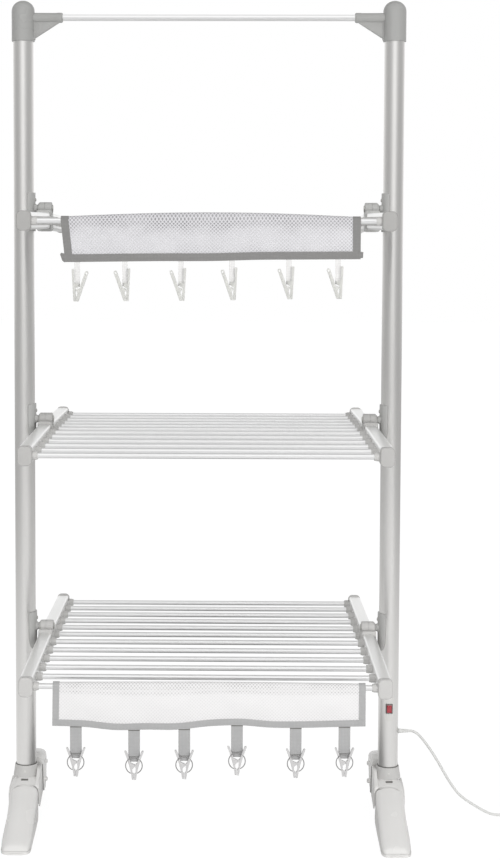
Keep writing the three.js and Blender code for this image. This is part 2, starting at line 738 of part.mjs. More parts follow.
// Rocker switch in the front of the right post
function addSwitch() {
  const front = -postRadius - bezelProud;
  const halfWidth = bezelWidth / 2;
  const halfHeight = bezelHeight / 2;
  const cavityWidth = rockerWidth / 2 + seatGap;
  const cavityHeight = rockerHeight / 2 + rockerRim;
  const housing = shaped(
    [block(-halfWidth, halfWidth, front, front + bezelDepth, -halfHeight, halfHeight)],
    [block(-cavityWidth, cavityWidth, front - overrun, front + bezelDepth / 2 + rockerHeel,
      -cavityHeight, cavityHeight)]);
  addPiece('switch_housing', housing.translate(postAxis, 0, switchHeight), blackPlastic);
  const half = rockerHeight / 2;
  const outline = [[-rockerCrest, half], [-rockerDip, 0], [-rockerCrest, -half], [-rockerRim, -half],
    [rockerHeel, -half / 3], [rockerHeel, half / 3], [-rockerRim, half]];
  const rocker = alongX(prism(outline.map(([y, z]) => new THREE.Vector2(y, z)).reverse(), rockerWidth),
    -rockerWidth / 2);
  rocker.rotateX(radians(rockerTilt)).translate(postAxis, front + rockerSink, switchHeight);
  addPiece('switch_rocker', rocker, redPlastic);
}

// A stretch of the cord along a curve
function cordAlong(curve, steps) {
  const section = new THREE.Shape(ellipse(cordDiameter / 2, cordDiameter / 2, cordSides));
  return new THREE.ExtrudeGeometry(section, { steps, extrudePath: curve, bevelEnabled: false });
}

// Gland, cord, coil and plug
function addCord() {
  const outside = postAxis + postRadius;
  const profile = [[-glandInside, 0], [-glandInside, glandTip / 2], [seatGap, glandTip / 2],
    [seatGap, glandBase / 2], [glandFlange, glandBase / 2], [glandFlange, glandBase / 2 - seatGap],
    [glandLength, glandTip / 2], [glandLength, 0]];
  const gland = new THREE.LatheGeometry(profile.map(([x, r]) => new THREE.Vector2(r, x)), hubSides);
  gland.rotateZ(-Math.PI / 2).translate(outside, 0, glandHeight);
  addPiece('cord_gland', gland, whitePlastic);
  const places = cordRoute.map(([x, y, z]) => new THREE.Vector3(x, y, z));
  const route = new THREE.CatmullRomCurve3(places, false, 'centripetal');
  addPiece('power_cord', cordAlong(route, cordSteps), whitePlastic);
  const coil = coilPoints(cordRoute[cordRoute.length - 1]);
  console.log('cord_coil least gap', leastGap(coil, cordDiameter, coilSteps / 2).toFixed(2));
  addPiece('cord_coil', tube(coil, cordDiameter / 2, coilSides), whitePlastic);
  const start = coil[coil.length - 1].clone().add(new THREE.Vector3(seatGap, 0, 0));
  const end = new THREE.Vector3(start.x + plugLead, start.y, plugThickness / 2);
  const ease = new THREE.Vector3(plugLead / 3, 0, 0);
  const lead = new THREE.CubicBezierCurve3(start, start.clone().add(ease), end.clone().sub(ease), end);
  addPiece('plug_lead', cordAlong(lead, plugLeadSteps), whitePlastic);
  addPlug(end);
}

// Loops that spiral in on the floor, climb a layer where they turn, and spiral out on top
function coilPoints([routeX, routeY, height]) {
  const pitch = cordDiameter + coilGap;
  const middle = coilTurns / 2;
  const lap = coilTurns * coilSteps;
  const lead = new THREE.Vector3(cordDiameter, 0, 0);
  const centreX = routeX + seatGap + cordDiameter;
  const centreY = routeY + coilInner + pitch * middle;
  const loops = Array.from({ length: lap + 1 }, (unused, step) => {
    const turn = step / coilSteps;
    const radius = coilInner + pitch * Math.abs(turn - middle);
    const angle = turn * 2 * Math.PI - Math.PI / 2;
    const climb = THREE.MathUtils.smoothstep(turn, middle - 1 / 4, middle + 1 / 4);
    return new THREE.Vector3(centreX + radius * Math.cos(angle), centreY + radius * Math.sin(angle),
      height + climb * pitch);
  });
  return [loops[0].clone().sub(lead), ...loops, loops[lap].clone().add(lead)];
}

// A flat two-pin plug that lies beside the coil
function addPlug(entry) {
  const width = plugWidth / 2;
  const start = entry.x + seatGap;
  const outline = [[0, -plugNeck / 2], [plugShoulder, -width], [plugLength, -plugNose / 2],
    [plugLength, plugNose / 2], [plugShoulder, width], [0, plugNeck / 2]];
  const body = prism(outline.map(([x, y]) => new THREE.Vector2(x, y)), plugThickness);
  const middle = plugThickness / 2;
  const pinPlaces = [-plugPinSpacing / 2, plugPinSpacing / 2];
  const pins = pinPlaces.map((y) =>
    cylinderX(plugPinDiameter / 2, plugLength - fuseDepth, plugLength + plugPinLength, barSides, y, middle));
  addPiece('mains_plug', shaped([body, ...pins]).translate(start, entry.y, 0), whitePlastic);
}

// Section of a mesh strip about the bar: a tail in front with a thicker hem, and a loop over the bar
function stripSection(x, drop, arch, fold, hemmed) {
  const half = clothThickness / 2;
  const loop = Array.from({ length: loopSteps + 1 }, (unused, step) => {
    const angle = radians(180 + ((loopEnd - 180) * step) / loopSteps);
    const lift = Math.max(Math.sin(angle), 0) * arch;
    return { y: loopRadius * Math.cos(angle), z: loopRadius * Math.sin(angle) + lift, half };
  });
  const hemHalf = hemThickness / 2;
  const sideHalf = hemmed ? hemHalf : half;
  const tail = [
    { y: -hangPlane, z: -drop, half: hemHalf },
    { y: -hangPlane, z: -drop + hemDepth, half: hemHalf },
    { y: -hangPlane, z: -drop + hemDepth + half, half: sideHalf },
    { y: -hangPlane - fold, z: -drop / 2, half: sideHalf },
  ];
  const path = [...tail, ...loop];
  const sides = path.map((point, place) => {
    const before = path[Math.max(place - 1, 0)];
    const after = path[Math.min(place + 1, path.length - 1)];
    const along = new THREE.Vector2(after.y - before.y, after.z - before.z).normalize();
    const out = [-along.y * point.half, along.x * point.half];
    return [new THREE.Vector3(x, point.y + out[0], point.z + out[1]),
      new THREE.Vector3(x, point.y - out[0], point.z - out[1])];
  });
  return [...sides.map((pair) => pair[0]), ...sides.map((pair) => pair[1]).reverse()];
}

function curveAt(shares, place) {
  const scaled = place * (shares.length - 1);
  const low = Math.min(Math.floor(scaled), shares.length - 2);
  return THREE.MathUtils.lerp(shares[low], shares[low + 1], scaled - low);
}

// A mesh strip: its hem waves with the drop shares, and the cloth swells between the ends
function meshStrip(strip, dropShares, folds) {
  const length = strip.end - strip.start;
  const edge = hemDepth / length;
  const even = Array.from({ length: clothStations - 1 }, (unused, station) =>
    edge + ((1 - 2 * edge) * station) / (clothStations - 2));
  const places = [0, ...even, 1];
  return skin(places.map((place) => {
    const arch = strip.arch * Math.sin(place * Math.PI);
    const fold = strip.fold * Math.sin(place * Math.PI * folds) ** 2;
    const drop = strip.drop * curveAt(dropShares, place);
    return stripSection(strip.start + place * length, drop, arch, fold, place <= edge || place >= 1 - edge);
  }));
}

// Places that hang from a strip, at the bottom of its hem
function hangers(strip, shares, dropShares) {
  return shares.map((place) => ({
    x: strip.start + place * (strip.end - strip.start),
    top: -strip.drop * curveAt(dropShares, place),
  }));
}

// The front bar's axis on a tier, where its strip hangs
function frontBar(tier) {
  const y = -barPitch * (barsPerWing - 1 / 2);
  const turn = radians(wingDroop);
  return new THREE.Vector3(0, y * Math.cos(turn) + barRise * Math.sin(turn),
    hubHeights[tier] + y * Math.sin(turn) - barRise * Math.cos(turn));
}

// A strip's group at its bar, with the cloth and its sewn straps in one piece
function addStrip(name, tier, cloth, places, width, thickness, length, material) {
  const group = new THREE.Group();
  group.position.copy(frontBar(tier));
  airer.add(group);
  const straps = places.map(({ x, top }) => block(x - width / 2, x + width / 2,
    -hangPlane - thickness / 2, -hangPlane + thickness / 2, top - length, top + strapSink));
  addPiece(name, shaped([cloth, ...straps]), material, group);
  return group;
}

// A prism in X and Z whose back face lies in front of a strap
function beforeStrap(outline, thickness, strapThickness, holes = []) {
  return alongFront(prism(outline, thickness, holes), -hangPlane - strapThickness / 2 - seatGap);
}

const scaled = (shares, size) => shares.map(([x, z]) => new THREE.Vector2(x * size, z * size));

// The opening arm of a clip: jaw, round bump at its pivot, and a finger end with a hole
function clipArm() {
  const [pivotX, pivotZ] = clipPivotShares.map((share) => share * clipHeight);
  const outline = [...scaled(clipArmShares, clipHeight),
    ...arc(pivotX, pivotZ, clipPivotRadius, ...clipPivotArc, pivotSteps), ...scaled(clipTipShares, clipHeight)];
  const [holeX, holeZ] = clipHolePlaceShares.map((share) => share * clipHeight);
  const hole = ellipse(clipHole / 2, clipHole / 2, holeSides).map((point) =>
    new THREE.Vector2(point.x + holeX, point.y + holeZ));
  return beforeStrap(outline, clipThickness, topStrapThickness, [hole]);
}

// Top strip: straps with clips, of a fixed leg and an arm that opens; the first one faces the other way
function addTopStrip() {
  const places = hangers(topStrip, topClipShares, topDropShares);
  const cloth = meshStrip(topStrip, topDropShares, topStripFolds);
  const group = addStrip('top_mesh_strip', tierNames.length - 1, cloth, places,
    topStrapWidth, topStrapThickness, topStrapLength, meshFabric);
  const leg = beforeStrap(scaled(clipLegShares, clipHeight), clipThickness, topStrapThickness);
  const arm = clipArm();
  places.forEach(({ x, top }, place) => {
    const jaw = top - topStrapLength - clipStrapSeat;
    const turned = (piece) => (place === 0 ? mirrored(piece, -1, 1) : piece.clone()).translate(x, 0, jaw);
    addPiece(`top_clip_leg_${place + 1}`, turned(leg), clearPlastic, group);
    addPiece(`top_clip_arm_${place + 1}`, turned(arm), clearPlastic, group);
  });
}

// One side of a peg, its jaw at the bottom; the inner edge at the pivot is given
function pegSide(pivotEdge, thickness) {
  const outline = [...scaled(pegJawShares, pegHeight), ...scaled(pegBackShares, pegHeight),
    ...pivotEdge, ...scaled(pegWaistShares, pegHeight)];
  return beforeStrap(outline, thickness, bottomStrapThickness);
}

// The fixed side of a peg: a flat seat at the pivot, and the ring spring let into its front
function pegLeg() {
  const pivotZ = pegPivotShares[1] * pegHeight;
  const flat = pegPivotRadius + seatGap;
  const edge = [new THREE.Vector2(flat, pivotZ + pegPivotRadius),
    new THREE.Vector2(flat, pivotZ - pegPivotRadius)];
  const plane = -hangPlane - bottomStrapThickness / 2 - 2 * seatGap - pegArmThickness - ringWire / 2;
  const centre = new THREE.Vector3(0, plane, ringHeightShare * pegHeight);
  const ring = skin(Array.from({ length: ringSteps + 1 }, (unused, step) => {
    const angle = radians(-90 + ringOpening / 2 + ((360 - ringOpening) * step) / ringSteps);
    const out = new THREE.Vector3(Math.cos(angle), 0, Math.sin(angle));
    return ellipse(ringWire / 2, ringWire / 2, ringSides).map((corner) => new THREE.Vector3(0, corner.y, 0)
      .add(centre).addScaledVector(out, ringRadius + corner.x));
  }));
  return shaped([pegSide(edge, pegThickness), ring]);
}

// The opening side of a peg, with a round bump at the pivot
function pegArm() {
  const [pivotX, pivotZ] = pegPivotShares.map((share) => share * pegHeight);
  const edge = arc(pivotX, pivotZ, pegPivotRadius, 100, 260, pivotSteps);
  return mirrored(pegSide(edge, pegArmThickness), -1, 1);
}

// Bottom strip: webbing straps with pegs
function addBottomStrip() {
  const places = hangers(bottomStrip, bottomPegShares, bottomDropShares);
  const cloth = meshStrip(bottomStrip, bottomDropShares, bottomStripFolds);
  const group = addStrip('bottom_mesh_strip', 0, cloth, places,
    bottomStrapWidth, bottomStrapThickness, bottomStrapLength, greyWebbing);
  const leg = pegLeg();
  const arm = pegArm();
  places.forEach(({ x, top }, place) => {
    const jaw = top - bottomStrapLength - pegStrapSeat;
    addPiece(`bottom_peg_leg_${place + 1}`, leg.clone().translate(x, 0, jaw), palePlastic, group);
    addPiece(`bottom_peg_arm_${place + 1}`, arm.clone().translate(x, 0, jaw), palePlastic, group);
  });
}

addPosts();
addTopBar();
addElbows();
addBrackets();
addWings();
addFeet();
addSwitch();
addCord();
addTopStrip();
addBottomStrip();

export default airer;
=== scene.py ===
"""Heated clothes airer: the dressed model, its materials, its light and its camera."""

import math

import bpy
from mathutils import Matrix, Vector


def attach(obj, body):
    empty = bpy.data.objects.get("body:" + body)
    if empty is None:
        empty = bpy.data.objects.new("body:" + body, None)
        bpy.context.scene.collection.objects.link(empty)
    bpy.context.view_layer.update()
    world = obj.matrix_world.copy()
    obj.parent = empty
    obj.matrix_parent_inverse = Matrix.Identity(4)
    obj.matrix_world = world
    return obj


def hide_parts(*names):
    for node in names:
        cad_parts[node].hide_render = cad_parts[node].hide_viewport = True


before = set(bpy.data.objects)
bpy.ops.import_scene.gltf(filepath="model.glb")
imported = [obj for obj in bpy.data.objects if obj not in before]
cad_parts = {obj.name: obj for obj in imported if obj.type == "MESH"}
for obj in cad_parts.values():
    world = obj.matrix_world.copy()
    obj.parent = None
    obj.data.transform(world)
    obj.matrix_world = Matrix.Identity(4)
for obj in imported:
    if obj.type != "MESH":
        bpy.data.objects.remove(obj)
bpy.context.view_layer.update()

bl_info = {
    "name": "Heated clothes airer",
    "version": (1, 0, 0),
    "blender": (4, 5, 0),
    "location": "View3D > Sidebar > Airer",
    "description": "Builds a free-standing heated clothes airer with folding wings, clips and pegs",
    "category": "Object",
}

MM = 0.001
FRONT, REAR = "front", "rear"
LEFT, RIGHT = "left", "right"
HUB_HEIGHTS = {"bottom": 0.379, "middle": 0.7763, "top": 1.1736}
WING_DROOP = math.radians(0.76)
BARS_IN_WING = 6
SAME = Matrix.Identity(4)
MIRROR_X = Matrix.Diagonal((-1, 1, 1, 1))
MIRROR_Y = Matrix.Diagonal((1, -1, 1, 1))
SIDES = ((LEFT, SAME), (RIGHT, MIRROR_X))
ALONG_X, ALONG_Z = (1, 0, 0), (0, 0, 1)


def linear(hex_colour):
    """Turns an sRGB hex colour to the linear values that a shader takes."""
    values = [int(hex_colour[place : place + 2], 16) / 255 for place in (1, 3, 5)]
    return [v / 12.92 if v <= 0.04045 else ((v + 0.055) / 1.055) ** 2.4 for v in values]


def length(name, description, default):
    return bpy.props.FloatProperty(name=name, description=description, default=default, unit="LENGTH",
                                   precision=4)


def colour(name, description, default):
    return bpy.props.FloatVectorProperty(name=name, description=description, default=linear(default),
                                         subtype="COLOR", size=3, min=0, max=1)


class AirerSizes(bpy.types.PropertyGroup):
    """Sizes that a user would change, in metres."""

    post_axis: length("Post axis", "Distance of a post's axis from the middle", 0.3465)
    post_diameter: length("Post diameter", "Outer diameter of the posts", 0.038)
    post_foot: length("Post foot", "Height of a post's lower end", 0.0763)
    post_head: length("Post head", "Height of a post's upper end", 1.516)
    top_bar_height: length("Top bar height", "Height of the hanging bar's axis", 1.528)
    top_bar_diameter: length("Top bar diameter", "Diameter of the hanging bar", 0.0115)
    elbow_diameter: length("Elbow diameter", "Diameter of the corner mouldings", 0.043)
    wing_reach: length("Wing reach", "Length of a wing from its hinge", 0.345)
    bar_pitch: length("Bar pitch", "Distance between the bars' axes", 0.0604)
    bar_depth: length("Bar depth", "Front to back size of a bar", 0.012)
    bar_height: length("Bar height", "Height of a bar", 0.0096)
    bar_drop: length("Bar drop", "Depth of the bars' axes below the hinge", 0.023)
    rail_in: length("Rail distance", "Distance of a rail's middle from the post axis", 0.0395)
    rail_width: length("Rail width", "Width of a wing's side rail", 0.023)
    rail_height: length("Rail height", "Height of a wing's side rail", 0.030)
    cord_diameter: length("Cord diameter", "Diameter of the mains lead", 0.005)


class AirerColours(bpy.types.PropertyGroup):
    """Base colours of the finishes."""

    aluminium: colour("Aluminium", "Drawn tube of the posts", "#E2E1DF")
    rails: colour("Rails", "Side rails of the wings", "#F1F1F0")
    bars: colour("Bars", "Bright bars of the wings", "#EBEBEB")
    grey: colour("Grey plastic", "Corner mouldings, brackets and hinge sockets", "#B5B5B3")
    # Painted light: light_grey, mid_grey and cap_grey are lighter and darker copies of the grey plastic,
    # painted for how the light falls
    light_grey: colour("Light grey plastic", "Bar sockets and rear end caps", "#C6C5C3")
    mid_grey: colour("Mid grey plastic", "End caps and hinge sockets of the middle tier", "#B5B4B2")
    cap_grey: colour("Cap grey", "Front end caps of the top tier", "#A6A5A3")
    pale: colour("Pale plastic", "Feet and legs", "#E8E7E5")
    collar: colour("Collar plastic", "Bands round the posts above the feet", "#CCCBC9")
    net: colour("Net", "White polyester net of the top strip", "#D2D1D4")
    fine_net: colour("Fine net", "Polyester net of the bottom strip", "#E8E7E7")
    dark_binding: colour("Dark binding", "Edges of the upper strip", "#8C8B8A")
    webbing: colour("Webbing", "Edges and straps of the lower strip", "#B6B6B6")
    clips: colour("Clips", "Milky plastic of the clips", "#E2E2DE")
    pegs: colour("Pegs", "Grey plastic of the pegs", "#C9C8C8")
    rocker: colour("Rocker", "Red switch", "#B03A44")
    cord: colour("Cord", "Sheath of the lead", "#E3E3E1")


def sizes():
    return bpy.context.scene.airer_sizes


# Modelling


def only(piece):
    """Makes a piece the one that is selected and active."""
    bpy.ops.object.select_all(action="DESELECT")
    piece.select_set(True)
    bpy.context.view_layer.objects.active = piece


def discard(*pieces):
    for piece in pieces:
        bpy.data.objects.remove(piece)


def apply_modifier(piece, kind, **settings):
    only(piece)
    made = piece.modifiers.new(kind.title(), kind)
    for key, value in settings.items():
        setattr(made, key, value)
    bpy.ops.object.modifier_apply(modifier=made.name)


def soften(piece, width, segments=2, angle=40):
    """Bevels the sharp edges of a piece."""
    apply_modifier(piece, "BEVEL", width=width, segments=segments, limit_method="ANGLE",
                   angle_limit=math.radians(angle), harden_normals=False)


def settle(piece, name, angle=35):
    """Leaves a piece at the origin, unturned and unscaled, with smooth faces."""
    only(piece)
    bpy.ops.object.transform_apply(location=True, rotation=True, scale=True)
    piece.name = piece.data.name = name
    bpy.ops.object.shade_smooth_by_angle(angle=math.radians(angle))
    return piece


def in_edit_mode(piece, work):
    """Runs mesh operators on a whole piece."""
    only(piece)
    bpy.ops.object.mode_set(mode="EDIT")
    bpy.ops.mesh.select_all(action="SELECT")
    work()
    bpy.ops.object.mode_set(mode="OBJECT")


def bevelled(piece, name, bevel, segments):
    """Settles a new solid, and bevels it where a width is given."""
    settle(piece, name)
    if bevel:
        soften(piece, bevel, segments)
        settle(piece, name)
    return piece


def rod(name, radius, start, end, sides=48, bevel=0.0, flat=1.0):
    """A round bar between two points; flat lowers its height where it lies along X."""
    start, end = Vector(start), Vector(end)
    along = end - start
    bpy.ops.object.select_all(action="DESELECT")
    bpy.ops.mesh.primitive_cylinder_add(
        vertices=sides, radius=radius, depth=along.length, location=(start + end) / 2,
        rotation=along.to_track_quat("Z", "Y").to_euler()
    )
    piece = bpy.context.active_object
    only(piece)
    bpy.ops.object.transform_apply(location=False, rotation=True, scale=True)
    piece.scale = (1, 1, flat)
    return bevelled(piece, name, bevel, 2)


def block(name, low, high, bevel=0.0, segments=3):
    """A box between two corners, with its edges bevelled."""
    low, high = Vector(low), Vector(high)
    bpy.ops.object.select_all(action="DESELECT")
    bpy.ops.mesh.primitive_cube_add(size=1, location=(low + high) / 2)
    piece = bpy.context.active_object
    piece.scale = high - low
    return bevelled(piece, name, bevel, segments)


def from_mesh(name, points, edges, faces):
    mesh = bpy.data.meshes.new(name)
    mesh.from_pydata([tuple(point) for point in points], edges, faces)
    mesh.update()
    piece = bpy.data.objects.new(name, mesh)
    bpy.context.scene.collection.objects.link(piece)
    return piece


def slab(name, outline, plane, start, end, bevel=0.0, segments=2, angle=40):
    """An outline that is extruded across its plane: XZ along Y, YZ along X, or XY along Z."""
    places = {
        "XZ": lambda a, b, depth: (a, depth, b),
        "YZ": lambda a, b, depth: (depth, a, b),
        "XY": lambda a, b, depth: (a, b, depth),
    }[plane]
    shift = Vector(places(0, 0, end - start))
    piece = from_mesh(name, [places(a, b, start) for a, b in outline], [], [list(range(len(outline)))])

    def extrude():
        bpy.ops.mesh.extrude_region_move(TRANSFORM_OT_translate={"value": shift})
        bpy.ops.mesh.select_all(action="SELECT")
        bpy.ops.mesh.normals_make_consistent(inside=False)

    in_edit_mode(piece, extrude)
    if bevel:
        soften(piece, bevel, segments, angle)
    return settle(piece, name)


def turned(name, profile, origin, axis, sides=64):
    """Spins a profile of (distance, radius) pairs about an axis through the origin point."""
    axis, origin = Vector(axis), Vector(origin)
    side = Vector(ALONG_Z) if abs(axis.z) < 0.5 else Vector(ALONG_X)
    points = [origin + axis * place + side * radius for place, radius in profile]
    piece = from_mesh(name, points, [(place, place + 1) for place in range(len(points) - 1)], [])

    def spin():
        bpy.ops.mesh.spin(steps=sides, angle=2 * math.pi, center=origin, axis=axis)
        bpy.ops.mesh.select_all(action="SELECT")
        bpy.ops.mesh.remove_doubles(threshold=1e-6)
        bpy.ops.mesh.normals_make_consistent(inside=False)

    in_edit_mode(piece, spin)
    return settle(piece, name)


def lofted(name, rings, angle=35):
    """A closed skin over rings that all have the same number of points."""
    count = len(rings[0])
    faces = []
    for ring in range(len(rings) - 1):
        for point in range(count):
            here, after = ring * count + point, ring * count + (point + 1) % count
            faces.append([here, after, after + count, here + count])
    faces.append(list(range(count)))
    faces.append(list(range((len(rings) - 1) * count, len(rings) * count)))
    piece = from_mesh(name, [point for ring in rings for point in ring], [], faces)
    in_edit_mode(piece, lambda: bpy.ops.mesh.normals_make_consistent(inside=False))
    return settle(piece, name, angle)


def tube_along(name, points, radius, sides):
    """A round wire through points, with its rings kept square to its path."""
    points = [Vector(point) for point in points]
    rings = []
    side = None
    for place, point in enumerate(points):
        along = (points[min(place + 1, len(points) - 1)] - points[max(place - 1, 0)]).normalized()
        if side is None:
            side = along.orthogonal().normalized()
        side = (side - along * side.dot(along)).normalized()
        across = along.cross(side)
        rings.append([
            point + side * radius * math.cos(turn) + across * radius * math.sin(turn)
            for turn in (2 * math.pi * step / sides for step in range(sides))
        ])
    return lofted(name, rings)


def cut(piece, cutter):
    """Takes a shape out of a piece and deletes it."""
    apply_modifier(piece, "BOOLEAN", operation="DIFFERENCE", solver="EXACT", object=cutter)
    discard(cutter)


def merge(name, pieces):
    """Joins pieces of one moulding in one object."""
    bpy.ops.object.select_all(action="DESELECT")
    for piece in pieces:
        piece.select_set(True)
    bpy.context.view_layer.objects.active = pieces[0]
    bpy.ops.object.join()
    pieces[0].name = pieces[0].data.name = name
    return pieces[0]


def copied(piece, name, matrix):
    """A copy with its own mesh, moved, turned or mirrored."""
    twin = bpy.data.objects.new(name, piece.data.copy())
    bpy.context.scene.collection.objects.link(twin)
    twin.data.name = name
    twin.data.transform(matrix)
    if matrix.determinant() < 0:
        twin.data.flip_normals()
    return twin


def mirrored(piece, name, matrix):
    """Puts a mirrored copy in the piece's place."""
    twin = copied(piece, name, matrix)
    discard(piece)
    return twin


def dress(piece, body, finish, slot, *nodes):
    """Says what a piece moves with, what it is made of and what it stands for."""
    piece.data.materials.clear()
    piece.data.materials.append(material(finish))
    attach(piece, body)
    if nodes:
        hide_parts(*nodes)
    return piece


def clamped(value):
    return min(max(value, 0), 1)


def eased(share):
    """A share that starts and stops gently."""
    return share * share * (3 - 2 * share)


def smooth_curve(values, place):
    """A smooth curve through evenly spaced values, read at a place from 0 to 1."""
    along = place * (len(values) - 1)
    low = min(int(along), len(values) - 2)
    part = along - low
    a = values[max(low - 1, 0)]
    b, c = values[low], values[low + 1]
    d = values[min(low + 2, len(values) - 1)]
    return 0.5 * (2 * b + (c - a) * part + (2 * a - 5 * b + 4 * c - d) * part**2
                  + (3 * b - a - 3 * c + d) * part**3)


def scaled(pairs, size=MM):
    """Pairs in millimetres, or in shares of a size, as metres."""
    return [(a * size, b * size) for a, b in pairs]


def arc(centre, radius, start, end, steps):
    """Points of an arc in a plane, in degrees."""
    turns = [math.radians(start + (end - start) * step / steps) for step in range(steps + 1)]
    return [(centre[0] + radius * math.cos(turn), centre[1] + radius * math.sin(turn)) for turn in turns]


def rounded_outline(low, high, radius, steps=5):
    """A rectangle with round corners, from two corners of it."""
    left, bottom, right, top = low[0] + radius, low[1] + radius, high[0] - radius, high[1] - radius
    corners = ((right, bottom), (right, top), (left, top), (left, bottom))
    return [point for number, corner in enumerate(corners)
            for point in arc(corner, radius, 90 * number - 90, 90 * number, steps)]


# Materials


def rgba(values, factor=1.0):
    return [min(value * factor, 1) for value in values[:3]] + [1]


class Nodes:
    """A shader's node tree, with short ways to add nodes. Each input is a value or another node's socket."""

    def __init__(self, owner):
        owner.use_nodes = True
        self.tree = owner.node_tree
        self.tree.nodes.clear()

    def fill(self, node, inputs):
        for key, value in inputs.items():
            if isinstance(value, bpy.types.NodeSocket):
                self.tree.links.new(value, node.inputs[key])
            else:
                node.inputs[key].default_value = value
        return node

    def add(self, kind, inputs=None, **settings):
        made = self.tree.nodes.new("ShaderNode" + kind)
        for key, value in settings.items():
            setattr(made, key, value)
        return self.fill(made, inputs or {})

    def maths(self, operation, *inputs, use_clamp=False):
        made = self.add("Math", dict(enumerate(inputs)), operation=operation, use_clamp=use_clamp)
        return made.outputs["Value"]

    def spread(self, value, low, high, start=0.0, end=1.0):
        """Turns the span from low to high to one from start to end."""
        span = {"Value": value, "From Min": low, "From Max": high, "To Min": start, "To Max": end}
        return self.add("MapRange", span).outputs["Result"]

    def noise(self, where, scale, detail):
        return self.add("TexNoise", {"Vector": where, "Scale": scale, "Detail": detail}).outputs["Fac"]

    def blend(self, factor, low, high):
        """A colour between two others."""
        return self.add("Mix", {"Factor": factor, 6: low, 7: high}, data_type="RGBA").outputs[2]

    def greys(self, value, stops):
        """A grey that is read from pairs of place and brightness."""
        ramp = self.add("ValToRGB", {"Fac": value})
        elements = ramp.color_ramp.elements
        while len(elements) < len(stops):
            elements.new(0.5)
        for element, (place, brightness) in zip(elements, stops):
            element.position = place
            element.color = (brightness, brightness, brightness, 1)
        return ramp.outputs["Color"]

    def axes(self, where):
        """The three parts of a vector."""
        return self.add("SeparateXYZ", {"Vector": where}).outputs

    def bump(self, height, strength, distance, invert=False):
        relief = {"Height": height, "Strength": strength, "Distance": distance * MM}
        return self.add("Bump", relief, invert=invert).outputs["Normal"]


class Finish(Nodes):
    """A material whose shader takes what wear() is given."""

    def __init__(self, name):
        self.material = bpy.data.materials.new(name)
        super().__init__(self.material)
        self.shader = self.add("BsdfPrincipled")
        self.add("OutputMaterial", {"Surface": self.shader.outputs["BSDF"]})
        coordinates = self.add("TexCoord").outputs
        self.object, self.uv = coordinates["Object"], coordinates["UV"]

    def uneven(self, value, roughness):
        """Roughness that varies a little with a noise."""
        return self.spread(value, 0.3, 0.7, roughness - 0.015, roughness + 0.02)

    def wear(self, base, normal, roughness, **others):
        self.fill(self.shader, {"Base Color": base, "Normal": normal, "Roughness": roughness})
        self.fill(self.shader, {key.replace("_", " "): value for key, value in others.items()})
        return self.material


def drawn_metal(name, base, along, roughness, relief=0.02):
    """Drawn or plated metal: fine lines along its length, which soften the reflections sideways."""
    look = Finish(name)
    stretch = [3 if axis == along else 900 for axis in "XYZ"]
    lines = look.add("Mapping", {"Vector": look.object, "Scale": stretch})
    streaks = look.noise(lines.outputs["Vector"], 1, 3)
    return look.wear(look.blend(streaks, rgba(base, 0.975), rgba(base, 1.02)),
                     look.bump(streaks, relief, 0.1),
                     look.uneven(look.noise(look.object, 9, 4), roughness), Metallic=1.0)


def moulded(name, base, roughness, grain=0.8, depth=0.06, coat=0.0):
    """Moulded plastic: an even colour with a fine eroded grain and slight flow marks."""
    look = Finish(name)
    skin = look.noise(look.object, 1 / (grain * MM), 2)
    flow = look.noise(look.object, 14, 3)
    return look.wear(look.blend(flow, rgba(base, 0.985), rgba(base, 1.012)), look.bump(skin, depth, 0.3),
                     look.uneven(flow, roughness), Coat_Weight=coat)


def milky(name, base, clearness):
    """Milky polypropylene of the clips: light goes partly through thin walls."""
    look = Finish(name)
    cloud = look.noise(look.object, 120, 3)
    return look.wear(look.blend(cloud, rgba(base, 0.92), rgba(base, 1.03)), look.bump(cloud, 0.1, 0.3), 0.32,
                     Transmission_Weight=clearness, IOR=1.49)


def net_cloth(name, base, pitch, closed, shade):
    """Knitted polyester net: diamond holes on a slanted grid. Where it lies before its own back layer, near
    the bar, its holes get painted shade: grey and closed; shade gives how much, from the hem up, in patches."""
    look = Finish(name)
    across, up = look.axes(look.uv)[:2]
    waves = []
    for operation in ("ADD", "SUBTRACT"):
        slanted = look.maths("MULTIPLY", look.maths(operation, across, up), math.pi / pitch)
        waves.append(look.maths("ABSOLUTE", look.maths("SINE", slanted)))
    grid = look.maths("MULTIPLY", *waves)
    hole = look.spread(grid, 0.34, 0.62)
    shade_patches = look.spread(look.noise(look.object, 26, 3), 0.35, 0.65, 0.55, 1.25)
    # Painted shade: the holes turn grey and opaque by these stops, in noise patches
    painted_shade = look.maths("MULTIPLY", look.greys(look.spread(up, 0, 0.11), shade), shade_patches, use_clamp=True)
    shaded_colour = look.blend(look.maths("MULTIPLY", hole, painted_shade), rgba(base), rgba(base, 0.46))
    through = look.maths("MULTIPLY", hole, look.maths("SUBTRACT", 1.0, painted_shade))
    return look.wear(shaded_colour, look.bump(grid, 1.1 - closed, 0.4, invert=True), 0.9, Sheen_Weight=0.15,
                     Alpha=look.spread(through, 0, 1, 1.0, closed), Specular_IOR_Level=0.1)


def woven(name, base, pitch, roughness=0.85):
    """Polyester webbing: a plain weave whose threads catch the light, with lighter crowns in noise patches.
    """
    look = Finish(name)
    threads = {"Vector": look.object, "Scale": 0.157 / pitch, "Distortion": 0.6, "Detail": 1}
    waves = [look.add("TexWave", threads, wave_type="BANDS", bands_direction=direction).outputs["Fac"]
             for direction in "XZ"]
    weave = look.maths("MULTIPLY", *waves)
    crown_tone = look.maths("MULTIPLY", weave, look.noise(look.object, 60, 5))
    return look.wear(look.blend(crown_tone, rgba(base, 0.86), rgba(base, 1.25)), look.bump(weave, 0.5, 0.3),
                     roughness, Sheen_Weight=0.2, Specular_IOR_Level=0.2)


def toned(base, factor):
    return [value * factor for value in base]
